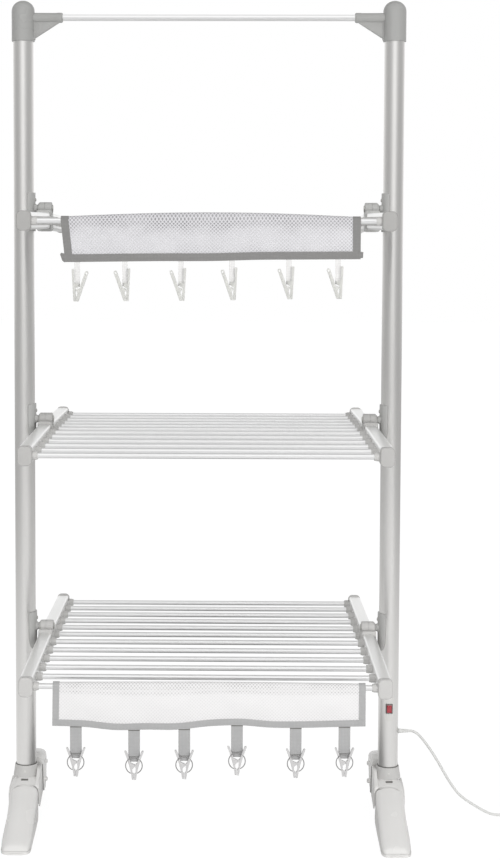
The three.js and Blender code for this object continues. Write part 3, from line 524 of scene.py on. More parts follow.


# How much painted shade darkens and closes the holes of each net, from the hem to the bar
TOP_NET_PAINTED_SHADE = [(0.0, 0.55), (0.14, 0.5), (0.24, 0.34), (0.36, 0.36), (0.46, 0.6), (0.56, 0.9), (0.7, 0.7),
                 (0.9, 0.4)]
BOTTOM_NET_PAINTED_SHADE = [(0.0, 0.22), (0.16, 0.12), (0.24, 0.03), (0.5, 0.03), (0.55, 0.5), (0.585, 0.1),
                    (0.615, 0.5), (0.9, 0.2)]


def finishes():
    """Each finish: what makes it, the real material's name, its colour and what else it takes."""
    c = bpy.context.scene.airer_colours
    return {
        "post": (drawn_metal, "drawn_aluminium_post", c.aluminium, "Z", 0.3),
        "rail": (drawn_metal, "drawn_aluminium_rail", c.rails, "Y", 0.34),
        "bar": (drawn_metal, "drawn_aluminium_bar", c.bars, "X", 0.36, 0.001),
        "steel": (drawn_metal, "zinc_plated_steel", linear("#B9B8B4"), "X", 0.3),
        "spring": (drawn_metal, "spring_steel", linear("#A6A5A5"), "X", 0.3),
        "brass": (drawn_metal, "nickel_plated_pin", linear("#C8C5BC"), "X", 0.2),
        "grey": (moulded, "grey_abs", c.grey, 0.36),
        # Painted light: copies of the grey plastic painted lighter and darker for how the light falls, per
        # tier and part
        "light_grey": (moulded, "light_grey_abs", c.light_grey, 0.4),
        "mid_grey": (moulded, "mid_grey_abs", c.mid_grey, 0.38),
        "cap_grey": (moulded, "grey_abs_cap", c.cap_grey, 0.4),
        # Painted shade: the grey plastic painted darker for the corner mouldings, which get more light
        "corner": (moulded, "glossy_grey_abs", toned(c.grey, 0.8), 0.28),
        "pale": (moulded, "pale_gloss_abs", c.pale, 0.26, 1.5, 0.03),
        # Painted light: the pale plastic painted lighter for the rear legs, which lie in shade
        "pale_painted_lighter": (moulded, "back_pale_gloss_abs", toned(c.pale, 1.09), 0.26, 1.5, 0.03),
        "collar": (moulded, "collar_abs", c.collar, 0.4),
        "peg": (moulded, "peg_polypropylene", c.pegs, 0.4),
        "bezel": (moulded, "dark_switch_nylon", linear("#5C5452"), 0.35),
        "rocker": (moulded, "red_switch_polycarbonate", c.rocker, 0.2, 0.8, 0.06, 0.4),
        "label": (moulded, "bare_label_vinyl", linear("#DEDDDA"), 0.45),
        # Painted shade: a dark grey for pieces that stand for the shade in slots, slits, gaps and seams
        "shadow_gap": (moulded, "dark_gap", linear("#6F6E6B"), 0.6),
        "cord": (moulded, "white_pvc_sheath", c.cord, 0.38, 0.6, 0.04),
        "plug": (moulded, "white_pvc_plug", c.cord, 0.35),
        "clip": (milky, "milky_polypropylene", c.clips, 0.35),
        "top_net": (net_cloth, "white_polyester_net", c.net, 0.0062, 0.6, TOP_NET_PAINTED_SHADE),
        "bottom_net": (net_cloth, "fine_polyester_net", c.fine_net, 0.0058, 0.93, BOTTOM_NET_PAINTED_SHADE),
        "dark_binding": (woven, "dark_grey_binding", c.dark_binding, 0.0012),
        "webbing": (woven, "grey_webbing", c.webbing, 0.0012),
        "tape": (woven, "clear_white_tape", linear("#EDECEB"), 0.0014, 0.5),
    }


MATERIALS = {}


def material(finish):
    """Makes a material when it is first asked for."""
    if finish not in MATERIALS:
        maker, *values = finishes()[finish]
        MATERIALS[finish] = maker(*values)
    return MATERIALS[finish]


# Camera and light

PHOTO_HEIGHT = 860
CAMERA_PLACE = (0.027512, -3.136710, 1.110391)
CAMERA_TURNS = (-0.753, 3.628, 0.137)
FOCAL_PIXELS = 1664.925
CENTRE_SHIFT_PIXELS = (49.385, -82.075)
SENSOR_HEIGHT = 24

# Brightness round about, from the front to the back, as the metal sees it
STUDIO_GREYS = [(0.0, 1.0), (0.014, 0.97), (0.04, 0.7), (0.09, 0.52), (0.16, 0.43), (0.25, 0.39),
                (0.36, 0.39), (0.49, 0.44), (0.64, 0.52), (0.81, 0.72), (1.0, 0.92)]
STUDIO_STRENGTH, STUDIO_GLOSSY_STRENGTH = 0.72, 1.28
WHITE = (1, 1, 1, 1)
LAMP_AIM = Vector((0, 0, 0.8))
LAMP_SIZE = 1.6
PAPER_WHITE = 0.88


class AIRER_OT_stage(bpy.types.Operator):
    """Camera, studio light, world and floor"""

    bl_idname = "airer.stage"
    bl_label = "Stage"

    def execute(self, context):
        scene = context.scene
        data = bpy.data.cameras.new("camera")
        camera = bpy.data.objects.new("camera", data)
        scene.collection.objects.link(camera)
        camera.matrix_world = Matrix.Translation(CAMERA_PLACE) @ self.camera_turn()
        data.sensor_fit = "VERTICAL"
        data.sensor_height = SENSOR_HEIGHT
        data.lens = SENSOR_HEIGHT * FOCAL_PIXELS / PHOTO_HEIGHT
        data.shift_x, data.shift_y = (pixels / PHOTO_HEIGHT for pixels in CENTRE_SHIFT_PIXELS)
        data.clip_end = 50
        scene.camera = camera
        scene.view_settings.view_transform = "Standard"
        self.world(scene)
        self.lamps(scene)
        self.floor()
        return {"FINISHED"}

    def camera_turn(self):
        yaw, pitch, roll = (math.radians(angle) for angle in CAMERA_TURNS)
        ahead = Vector((math.sin(yaw) * math.cos(pitch), math.cos(yaw) * math.cos(pitch), -math.sin(pitch)))
        level = Vector((math.cos(yaw), -math.sin(yaw), 0))
        upright = level.cross(ahead)
        right = level * math.cos(roll) + upright * math.sin(roll)
        up = upright * math.cos(roll) - level * math.sin(roll)
        return Matrix((right, up, -ahead)).transposed().to_4x4()

    def world(self, scene):
        """White to the camera; to the metal a studio with bright front and back and darker flanks."""
        scene.world = bpy.data.worlds.new("studio")
        sky = Nodes(scene.world)
        across, depth, up = sky.axes(sky.add("TexCoord").outputs["Generated"])
        flanks = sky.greys(sky.spread(depth, -1, 1), STUDIO_GREYS)
        above = sky.blend(sky.spread(up, 0.15, 0.7), flanks, sky.spread(depth, -0.1, 0.5, 1, 0.4))
        path = sky.add("LightPath").outputs
        strength = sky.spread(path["Is Glossy Ray"], 0, 1, STUDIO_STRENGTH, STUDIO_GLOSSY_STRENGTH)
        studio = sky.add("Background", {"Color": above, "Strength": strength})
        white = sky.add("Background", {"Color": WHITE, "Strength": 1})
        seen = sky.maths("MAXIMUM", path["Is Camera Ray"], path["Is Transmission Ray"])
        mix = sky.add("MixShader", {0: seen, 1: studio.outputs["Background"], 2: white.outputs["Background"]})
        sky.add("OutputWorld", {"Surface": mix.outputs["Shader"]})

    def lamps(self, scene):
        """A soft key from the upper left front, and a stronger, lower fill from the right. The metal shows
        neither of them, only the world."""
        for name, place, power in (("key_lamp", (-1.5, -3.6, 1.9), 36), ("fill_lamp", (1.9, -3.4, 1.3), 50)):
            data = bpy.data.lights.new(name, "AREA")
            data.shape = "SQUARE"
            data.size = LAMP_SIZE
            data.energy = power
            lamp = bpy.data.objects.new(name, data)
            scene.collection.objects.link(lamp)
            lamp.location = place
            lamp.visible_glossy = False
            lamp.rotation_euler = (LAMP_AIM - Vector(place)).to_track_quat("-Z", "Y").to_euler()

    def floor(self):
        """Paper that shows as white and keeps a soft shadow. In the metal's reflections alone it is painted
        darker near the airer and painted with a glow farther off: a painted reflection of shade and of light."""
        bpy.ops.object.select_all(action="DESELECT")
        bpy.ops.mesh.primitive_plane_add(size=40, location=(0, 0, -0.0005))
        plane = bpy.context.active_object
        settle(plane, "studio_floor")
        made = bpy.data.materials.new("white_paper_floor")
        look = Nodes(made)
        path = look.add("LightPath").outputs
        glossy = path["Is Glossy Ray"]
        where = look.add("TexCoord").outputs["Object"]
        away = look.add("VectorMath", {0: where}, operation="LENGTH").outputs["Value"]
        near = look.spread(away, 0.2, 0.5)
        # Painted shade in reflections: glossy rays see the paper darker within half a metre of the airer
        painted_reflection_grey = look.spread(near, 0, 1, 0.36, PAPER_WHITE)
        pale = look.add("Mix", {0: glossy, 2: PAPER_WHITE, 3: painted_reflection_grey})
        paper = look.add("BsdfDiffuse", {"Color": pale.outputs[0]})
        glow = look.add("Emission", {"Color": WHITE, "Strength": 1.1})
        seen = look.maths("MAXIMUM", path["Is Camera Ray"], path["Is Transmission Ray"])
        # Painted light in reflections: glossy rays see the paper glow, rising from 0.2 m off and fading out
        # by 4 m
        painted_glow_reach = look.maths("MULTIPLY", near, look.spread(away, 1, 4, 0.72, 0))
        bright = look.maths("MULTIPLY", look.maths("MULTIPLY", painted_glow_reach, glossy), 0.9)
        share = look.maths("MULTIPLY_ADD", seen, 0.86, bright)
        mix = look.add("MixShader", {0: share, 1: paper.outputs["BSDF"], 2: glow.outputs["Emission"]})
        look.add("OutputMaterial", {"Surface": mix.outputs["Shader"]})
        plane.data.materials.append(made)


# Cord, in millimetres

CORD_HEIGHT = 179
GLAND_REACH = 3
CORD_ROUTE = [
    (386.3, 0, 179), (392.5, 0.4, 178.4), (400.5, 1.4, 174.6), (409.5, 3, 166.4), (418.5, 4.6, 155),
    (428, 6.3, 141.6), (437.7, 8, 126.4), (447.5, 9.8, 110), (457, 11.6, 93), (466.8, 13.6, 76.6),
    (476.5, 15.7, 62), (486.3, 17.9, 50), (496, 20.2, 41.2), (505.8, 22.6, 33.8), (515.6, 25, 27),
    (525.5, 27.5, 20.4), (535.3, 30.2, 14.2), (545, 32.8, 8.8), (556.5, 35.8, 4.6), (568.5, 38.2, 2.9),
    (582, 39.6, 2.65), (596, 40, 2.6), (609, 40, 2.6), (621, 40, 2.6), (634.7, 40, 2.6),
]
COIL_TURNS = 6
COIL_STEPS = 24
COIL_START = 5.3
COIL_INNER = 19.5
COIL_PITCH = 5.6
PLUG_LEAD = 42
PLUG_LEAD_STEPS = 8
PLUG_LENGTH, PLUG_WIDTH, PLUG_THICKNESS = 36, 35.3, 13.7
PLUG_PIN_LENGTH, PLUG_PIN_RADIUS, PLUG_PIN_PLACES = 19, 2, (-9.3, 9.3)
TIE_HALF_WIDTH, TIE_HALF_HEIGHT, TIE_SQUARENESS = 11.6, 5.9, 0.7
TIE_HEIGHT, TIE_LOWEST = 5.6, -5.2


def coil_points():
    """Loops that spiral in on the floor, climb a layer and spiral out on top."""
    middle = COIL_TURNS / 2
    end_x, end_y, floor = CORD_ROUTE[-1]
    centre = end_x + COIL_START, end_y + COIL_INNER + COIL_PITCH * middle
    points = []
    for step in range(COIL_TURNS * COIL_STEPS + 1):
        turn = step / COIL_STEPS
        radius = COIL_INNER + COIL_PITCH * abs(turn - middle)
        angle = turn * 2 * math.pi - math.pi / 2
        climb = eased(clamped((turn - middle + 0.25) / 0.5))
        points.append((centre[0] + radius * math.cos(angle), centre[1] + radius * math.sin(angle),
                       floor + climb * COIL_PITCH))
    return points


def rounded_swing(size, value):
    """A sine or cosine made squarer."""
    return size * math.copysign(abs(value) ** TIE_SQUARENESS, value)


class AIRER_OT_cord(bpy.types.Operator):
    """The mains lead with its gland, its coil, a tie and the plug"""

    bl_idname = "airer.cord"
    bl_label = "Cord"

    def execute(self, context):
        s = sizes()
        outside = (s.post_axis + s.post_diameter / 2) / MM
        exit_x = outside + GLAND_REACH
        coil = coil_points()
        start = Vector(coil[-1]) + Vector((COIL_START, 0, 0))
        end = Vector((start.x + PLUG_LEAD, start.y, PLUG_THICKNESS / 2))
        shares = [step / PLUG_LEAD_STEPS for step in range(PLUG_LEAD_STEPS + 1)]
        lead = [(start.x + PLUG_LEAD * share, start.y, start.z + (end.z - start.z) * eased(share))
                for share in shares]
        route = [(exit_x, 0, CORD_HEIGHT), (exit_x + 8, 0, CORD_HEIGHT)] + CORD_ROUTE + coil + lead
        route.append((end.x + 2, end.y, end.z))
        points = [Vector(place) * MM for place in route]
        cord = self.sheath(points, s.cord_diameter)
        gland = self.gland(outside)
        plug = self.plug(end)
        pins = self.pins(end)
        tie = self.tie(coil)
        return {"FINISHED"}

    def sheath(self, points, diameter):
        data = bpy.data.curves.new("mains_lead", "CURVE")
        data.dimensions = "3D"
        spline = data.splines.new("BEZIER")
        spline.bezier_points.add(len(points) - 1)
        for knot, point in zip(spline.bezier_points, points):
            knot.co = point
            knot.handle_left_type = knot.handle_right_type = "AUTO"
        data.bevel_depth = diameter / 2
        data.bevel_resolution = data.resolution_u = 4
        data.use_fill_caps = True
        cord = bpy.data.objects.new("mains_lead", data)
        bpy.context.scene.collection.objects.link(cord)
        return dress(cord, "frame", "cord", "white_plastic", "power_cord", "cord_coil", "plug_lead")

    def gland(self, outside):
        """Tapered strain relief with a flange on the post and ribs along it."""
        profile = [(-4, 0), (-4, 3.1), (0.4, 3.1), (0.4, 4.3), (0.8, 4.7), (1.6, 4.7), (1.9, 4.3)]
        for rib in range(5):
            place, radius = 3 + rib * 3.1, 4.3 - rib * 0.22
            profile += [(place + along, radius - deep)
                        for along, deep in ((0, 0), (0.6, 0.5), (1.5, 0.5), (2.1, 0.1))]
        profile += [(19.4, 3.2), (20, 2.9), (20, 0)]
        piece = turned("strain_relief", scaled(profile), (outside * MM, 0, CORD_HEIGHT * MM), ALONG_X, 32)
        return dress(piece, "frame", "plug", "white_plastic", "cord_gland")

    def plug(self, entry):
        """Flat two-pin plug with a waisted grip."""
        half = PLUG_WIDTH / 2
        outline = [(0.3, -4.5), (5, -6.5), (12, -half), (20, -half + 1), (28, -half + 3.5),
                   (PLUG_LENGTH + 0.3, -12)]
        outline += [(x, -y) for x, y in reversed(outline)]
        points = scaled([(entry.x + x, entry.y + y) for x, y in outline])
        piece = slab("plug_body", points, "XY", 0.2 * MM, PLUG_THICKNESS * MM, 2.2 * MM, 4, 60)
        return dress(piece, "frame", "plug", "white_plastic", "mains_plug")

    def pins(self, entry):
        pins = []
        for y in PLUG_PIN_PLACES:
            start = Vector((entry.x + PLUG_LENGTH, entry.y + y, PLUG_THICKNESS / 2)) * MM
            end = start + Vector((PLUG_PIN_LENGTH * MM, 0, 0))
            pins.append(rod("pin", PLUG_PIN_RADIUS * MM, start, end, 24, 0.6 * MM))
        return dress(merge("plug_pins", pins), "frame", "brass", "white_plastic")

    def tie(self, coil):
        """A twist tie round the bundle of turns, on the side away from the plug."""
        centre_x, centre_y = ((min(values) + max(values)) / 2 for values in list(zip(*coil))[:2])
        middle = COIL_INNER + COIL_PITCH * COIL_TURNS / 4
        points = []
        for step in range(25):
            angle = 2 * math.pi * step / 24
            across = rounded_swing(TIE_HALF_WIDTH, math.cos(angle))
            up = max(rounded_swing(TIE_HALF_HEIGHT, math.sin(angle)), TIE_LOWEST)
            points.append(Vector((centre_x - middle + across, centre_y, TIE_HEIGHT + up)) * MM)
        return dress(tube_along("coil_tie", points, 0.35 * MM, 8), "frame", "bezel", "black_plastic")


# Frame

ELBOW_REACH = 0.044


class AIRER_OT_posts(bpy.types.Operator):
    """Two drawn tubes and the hanging bar"""

    bl_idname = "airer.posts"
    bl_label = "Posts and top bar"

    def execute(self, context):
        s = sizes()
        for side, x in ((LEFT, -s.post_axis), (RIGHT, s.post_axis)):
            post = rod(f"{side}_post_tube", s.post_diameter / 2, (x, 0, s.post_foot), (x, 0, s.post_head), 96)
            dress(post, "frame", "post", "drawn_aluminium", f"{side}_post")
        half, height = s.post_axis - ELBOW_REACH, s.top_bar_height
        bar = rod("hanging_bar", s.top_bar_diameter / 2, (-half, 0, height), (half, 0, height), 48)
        dress(bar, "frame", "bar", "drawn_aluminium", "top_bar")
        return {"FINISHED"}


class AIRER_OT_elbows(bpy.types.Operator):
    """Domed corner mouldings with a sleeve and a web"""

    bl_idname = "airer.elbows"
    bl_label = "Corner mouldings"

    def execute(self, context):
        s = sizes()
        radius = s.elbow_diameter / 2
        x, z = -s.post_axis, s.top_bar_height
        shoulder, dome_height, steps = 0.0115, 0.02, 15
        skirt = -ELBOW_REACH
        profile = [(skirt, radius - 0.0022), (skirt, radius - 0.0006), (skirt + 0.0006, radius),
                   (shoulder, radius)]
        for step in range(1, steps):
            turn = math.radians(step * 90 / steps)
            profile.append((shoulder + dome_height * math.sin(turn), radius * math.cos(turn)))
        profile.append((shoulder + dome_height, 0))
        body = turned("elbow", profile, (x, 0, z), ALONG_Z, 96)
        tube = [(16, 9.2), (62.5, 9), (63.2, 9.4), (72.2, 9.4), (74, 8), (74, 6)]
        sleeve = turned("sleeve", scaled(tube), (x, 0, z), ALONG_X, 64)
        web = slab("web", [(x + 0.018, z - 0.038), (x + radius + 0.001, z - 0.038), (x + 0.0712, z - 0.007),
                           (x + 0.018, z - 0.007)], "XZ", -0.004, 0.004, 0.0012)
        rib = block("rib", (x + radius - 0.003, -0.0055, z - 0.041),
                    (x + radius + 0.0012, 0.0055, z + 0.006), 0.001)
        moulding = merge("elbow", [body, sleeve, web, rib])
        for side, turn in SIDES:
            elbow = copied(moulding, f"{side}_elbow_moulding", turn)
            dress(elbow, "frame", "corner", "grey_plastic", f"{side}_top_elbow")
        discard(moulding)
        return {"FINISHED"}


class AIRER_OT_brackets(bpy.types.Operator):
    """Saddles on the posts, with their screws and the hinge pins"""

    bl_idname = "airer.brackets"
    bl_label = "Hinge brackets"

    def execute(self, context):
        x = -sizes().post_axis
        rim = [(20, 9.2), (22.2, 8), (24, 7), (25.2, 6.6), (25.7, 6), (25.7, 0)]
        moulding = merge("bracket", [self.saddle(x), turned("boss", scaled(rim), (x, 0, 0), ALONG_X, 48)])
        shank_and_head = [(9, 0), (9, 4), (53.3, 4), (53.3, 6.3), (54.5, 6.3), (55.1, 5.6), (55.3, 4.6),
                          (55.3, 0)]
        pin = turned("pin", scaled(shank_and_head), (x, 0, 0), ALONG_X, 48)
        screws = merge("screws", [self.screw(x, place) for place in (0.016, -0.032)])
        for tier, height in HUB_HEIGHTS.items():
            for side, turn in SIDES:
                at = f"{side}_{tier}"
                place = Matrix.Translation((0, 0, height)) @ turn
                dress(copied(moulding, f"{at}_bracket_moulding", place), "frame", "grey", "grey_plastic",
                      f"{at}_hinge_bracket")
                dress(copied(pin, f"{at}_hinge_pin", place), "frame", "steel", "grey_plastic")
                dress(copied(screws, f"{at}_bracket_screws", place), "frame", "steel", "grey_plastic")
        discard(moulding, pin, screws)
        return {"FINISHED"}

    def saddle(self, x):
        """A shell that hugs the post; its lower end narrows to a round tongue."""
        inner, outer, edge = 0.0193, 0.0217, 0.0011
        stations = [(-43, 26), (-42.6, 34), (-41.3, 43), (-39, 50), (-36, 55), (-31, 60), (-25, 63), (0, 66),
                    (22, 66), (26, 65), (28.4, 61), (29, 55)]
        rings = []
        for height, half in stations:
            wall = [(outer - edge, -half)] + [(outer, angle) for angle in self.fan(half - 2.4)]
            wall += [(outer - edge, half)] + [(inner, -angle) for angle in self.fan(half)]
            rings.append([
                Vector((x + radius * math.cos(math.radians(angle)), radius * math.sin(math.radians(angle)),
                        height * MM))
                for radius, angle in wall
            ])
        return lofted("saddle", rings, 40)

    def fan(self, half, steps=24):
        return [-half + 2 * half * step / steps for step in range(steps + 1)]

    def screw(self, x, height):
        """Pan head with a cross recess."""
        pan = [(20.9, 0), (20.9, 3.3), (22.2, 3.3), (23, 2.7), (23.4, 1.6), (23.5, 0)]
        head = turned("head", scaled(pan), (x, 0, height), ALONG_X, 32)
        for wide, tall in ((0.0004, 0.0022), (0.0022, 0.0004)):
            cut(head, block("slot", (x + 0.0226, -wide, height - tall), (x + 0.026, wide, height + tall)))
        return settle(head, "head", 30)


# Wings

# Painted light: one grey plastic is painted paler from tier to tier downwards, for how the light falls: end
# caps, hinge sockets
TIER_PAINTED_TONES = {"top": ("cap_grey", "grey"), "middle": ("mid_grey", "mid_grey"),
              "bottom": ("light_grey", "light_grey")}
CAP_HALF_WIDTH, CAP_HALF_HEIGHT = 0.0126, 0.017
KNUCKLE_WIDTH = 0.01335


class AIRER_OT_wings(bpy.types.Operator):
    """Six hinged wings: rails, bars, ferrules, end caps and hinge sockets"""

    bl_idname = "airer.wings"
    bl_label = "Wings"

    def execute(self, context):
        for outer_half, side, mirror, droop in ((True, FRONT, SAME, WING_DROOP),
                                                (False, REAR, MIRROR_Y, -WING_DROOP)):
            parts = self.parts(outer_half)
            for tier, height in HUB_HEIGHTS.items():
                place = Matrix.Translation((0, 0, height)) @ Matrix.Rotation(droop, 4, "X") @ mirror
                wing = f"{tier}_{side}_wing"
                for name, part, finish, slot in parts:
                    # Painted light: rear end caps are painted in the paler grey
                    if name.endswith("cap"):
                        finish = "light_grey" if side == REAR else TIER_PAINTED_TONES[tier][0]
                    elif name.endswith("socket"):
                        finish = TIER_PAINTED_TONES[tier][1]
                    dress(copied(part, f"{tier}_{side}_{name}", place), wing, finish, slot, wing)
            discard(*[part for name, part, finish, slot in parts])
        return {"FINISHED"}

    def parts(self, outer_half):
        """Each kind of part of a front wing, about its hinge axis."""
        s = sizes()
        centre = -s.post_axis + s.rail_in
        inner_face = centre + s.rail_width / 2
        cap_face = centre + 0.013
        places = [-s.bar_pitch * (bar + 0.5) for bar in range(BARS_IN_WING)]
        parts = []
        for side, turn in SIDES:
            made = [
                ("rail", self.rail(centre), "rail", "drawn_aluminium"),
                ("end_cap", self.cap(centre), "cap_grey", "grey_plastic"),
                ("hinge_socket", self.socket(outer_half), "grey", "grey_plastic"),
            ]
            for number, place in enumerate(places, 1):
                start = cap_face if number == BARS_IN_WING else inner_face
                ferrule = self.ferrule(start, inner_face + 0.0105, place)
                made.append((f"ferrule_{number}", ferrule, "light_grey", "grey_plastic"))
            for name, part, finish, slot in made:
                part = mirrored(part, name, turn) if side == RIGHT else part
                parts.append((f"{side}_{name}", part, finish, slot))
        for number, place in enumerate(places, 1):
            bar = rod("bar", s.bar_depth / 2, (inner_face, place, -s.bar_drop),
                      (-inner_face, place, -s.bar_drop), 32, flat=s.bar_height / s.bar_depth)
            parts.append((f"bar_{number}", bar, "bar", "drawn_aluminium"))
        return parts

    def rail(self, centre):
        s = sizes()
        half, tall = s.rail_width / 2, s.rail_height / 2
        outline = rounded_outline((centre - half, -s.bar_drop - tall), (centre + half, -s.bar_drop + tall),
                                  0.004)
        return slab("rail", outline, "XZ", -0.0128, -s.wing_reach + 0.003)

    def cap(self, centre):
        """End cap with a soft outer edge and a lip where it meets the rail."""
        s = sizes()
        parts = []
        for name, inset, radius, steps, start, end, bevel, segments in (
            ("cap", 0, 0.0085, 10, 0.014, 0, 0.003, 6),
            ("lip", 0.0006, 0.0064, 8, 0.0165, 0.0135, 0.0004, 2),
        ):
            half, tall = CAP_HALF_WIDTH - inset, CAP_HALF_HEIGHT - inset
            outline = rounded_outline((centre - half, -s.bar_drop - tall),
                                      (centre + half, -s.bar_drop + tall), radius, steps)
            parts.append(slab(name, outline, "XZ", -s.wing_reach + start, -s.wing_reach + end, bevel,
                              segments, 60))
        return merge("cap", parts)

    def ferrule(self, start, end, place):
        """Stepped ring in which a bar ends."""
        profile = [(start - 0.0004, 0.0055), (start - 0.0004, 0.00775), (start + 0.0012, 0.00775),
                   (end - 0.003, 0.00755), (end - 0.0026, 0.0070), (end - 0.0006, 0.0070), (end, 0.0064),
                   (end, 0.0045)]
        return turned("ferrule", profile, (0, place, -sizes().bar_drop), ALONG_X, 40)

    def socket(self, outer_half):
        """Hinge socket: collar round the rail, block that butts on the other wing, neck and knuckle."""
        s = sizes()
        left = -s.post_axis + 0.026
        right = left + 0.027
        foot = 0.005
        bottom = -s.bar_drop - s.rail_height / 2 - foot

        def outline(high, radius):
            corners = ((left + foot, bottom + foot, foot, 180, 5),
                       (right - foot, bottom + foot, foot, 270, 5),
                       (right - radius, high - radius, radius, 0, 4),
                       (left + radius, high - radius, radius, 90, 4))
            return [point for x, z, size, turn, steps in corners
                    for point in arc((x, z), size, turn, turn + 90, steps)]

        body = slab("body", outline(-0.0118, 0.0012), "XZ", -0.0011, -0.0137, 0.0008, 2, 50)
        top = -s.bar_drop + s.rail_height / 2 + 0.005
        collar = slab("collar", outline(top, 0.0035), "XZ", -0.0125, -0.0217, 0.0009, 3, 50)
        start = left if outer_half else right - KNUCKLE_WIDTH
        if outer_half:
            rim = [(0, 0), (0, 7.2), (0.4, 7.8), (3.6, 11.2), (4.3, 11.5), (13.35, 11.5), (13.35, 0)]
        else:
            rim = [(0, 0), (0, 11.5), (11.75, 11.5), (12.95, 10.9), (13.35, 10), (13.35, 0)]
        knuckle = turned("knuckle", scaled(rim), (start, 0, 0), ALONG_X, 64)
        neck_start = start + (0.004 if outer_half else 0)
        neck = block("neck", (neck_start, -0.0112, -0.0128), (start + KNUCKLE_WIDTH, -0.0011, -0.002), 0.0003)
        return merge("socket", [collar, body, knuckle, neck])


# Feet

# Place along the reach, top and bottom as shares, then the inner and outer half widths as shares
FRONT_LEG = [
    (0, 1, 1, 0.81, 0.81), (0.148, 0.93, 0.842, 0.81, 0.81), (0.151, 0.928, 0.66, 0.925, 0.9),
    (0.25, 0.83, 0.6, 0.955, 0.875), (0.4, 0.69, 0.52, 0.945, 0.85), (0.6, 0.495, 0.36, 0.94, 0.87),
    (0.78, 0.322, 0.17, 0.925, 0.905), (0.9, 0.21, 0.02, 0.9, 0.9), (0.955, 0.14, 0, 0.81, 0.81),
    (0.98, 0.045, 0, 0.68, 0.68), (1, 0.036, 0, 0.42, 0.42),
]
REAR_LEG = [
    (0, 0.955, 1, 0.92, 0.92), (0.08, 1, 0.914, 0.97, 0.97), (0.24, 0.985, 0.756, 1, 1),
    (0.39, 0.915, 0.6, 0.94, 0.94),
    (0.54, 0.78, 0.436, 0.85, 0.85), (0.69, 0.575, 0.276, 0.74, 0.74), (0.84, 0.34, 0.116, 0.62, 0.62),
    (0.95, 0.16, 0, 0.48, 0.48), (1, 0.045, 0, 0.28, 0.28),
]
LEG_STATIONS = 60
FRONT_LEG_TOP, FRONT_LEG_HALF = 0.088, 0.0296
REAR_LEG_TOP, REAR_LEG_HALF = 0.1235, 0.0278
FRONT_LEG_WALL, REAR_LEG_WALL = 0.0024, 0.0014
FRONT_LEG_DRAFT, REAR_LEG_DRAFT = -0.0028, 0.0038
REAR_LEG_INWARD = 0.0035
SOLE_LIP = 0.0008
TONGUE_RADIUS = 0.009
CREASE_HEIGHT, CREASE_RADIUS = 0.0056, 0.0005
LEG_UNDERSIDE = 0.050
LEG_GAP = 0.0003
FOOT_REACH = 0.186
FOOT_BODY_DEPTH = 0.0428
FOOT_BODY_WIDTH = 0.0436
CHEEK_WALL = 0.0062
CHEEK_RADIUS = 0.0095
CHEEK_TOP = 0.078
FRONT_PIVOT, REAR_PIVOT = (-0.011, 0.060), (0.011, 0.060)
SHIELD_IN, SHIELD_OUT = 0.0245, 0.0285
PANEL_IN, PANEL_OUT = 0.0280, 0.0288
HOOD_FRONT = -0.0455
GLOSSY = "pale_gloss_plastic"


def leg_y(place, gap=0.0):
    """Distance in front of the post of a place along a leg."""
    start = FOOT_BODY_DEPTH / 2 + gap
    return -start - place * (FOOT_REACH - start)


def gentle_slope(first, last):
    """A slope between two others that never overshoots."""
    return 0 if first * last <= 0 else 2 * first * last / (first + last)


def table_row(table, place):
    """A table's row at a place between its rows, eased so that no value passes its neighbours."""
    index = next(number for number, after in enumerate(table[1:]) if place <= after[0])
    low, high = table[index], table[index + 1]
    before, after = table[max(index - 1, 0)], table[min(index + 2, len(table) - 1)]
    span = high[0] - low[0]
    part = (place - low[0]) / span
    values = []
    for column in (1, 2, 3, 4):
        middle = (high[column] - low[column]) / span
        first = (low[column] - before[column]) / max(low[0] - before[0], 1e-6)
        last = (after[column] - high[column]) / max(after[0] - high[0], 1e-6)
        leaving = gentle_slope(first, middle) * span
        arriving = gentle_slope(middle, last) * span
        values.append((2 * part**3 - 3 * part**2 + 1) * low[column] + (part**3 - 2 * part**2 + part) * leaving
                      + (-2 * part**3 + 3 * part**2) * high[column] + (part**3 - part**2) * arriving)
    return values


def arched_section(inner, outer, y, low, high, draft=0.0, flare=0.0):
    """A squarer inner shoulder and a rounder outer one, sides with a little draft, and a lip that stands
    out at the sole."""
    steps = 48
    rise = min(0.017, (high - low) * 0.8)
    side = high - rise - low
    lip = (min(0.0022, side * 0.3), min(0.0032, side * 0.5))
    across, back = inner - draft, draft - outer
    ring = [(across + flare, low), (across + flare, low + lip[0]), (across, low + lip[1])]
    for step in range(steps + 1):
        angle = math.pi * step / steps
        width, power = (inner, 0.58) if step < steps / 2 else (outer, 0.9)
        cosine = 0 if step == steps / 2 else math.cos(angle)
        ring.append((math.copysign(abs(cosine) ** power, cosine) * width,
                     high - rise + abs(math.sin(angle)) ** power * rise))
    ring += [(back, low + lip[1]), (back - flare, low + lip[0]), (back - flare, low)]
    return [Vector((x, y, z)) for x, z in ring]


def between(name, outline, one, other, bevel=0.0):
    """A slab along X between two faces, in either order."""
    return slab(name, outline, "YZ", min(one, other), max(one, other), bevel)


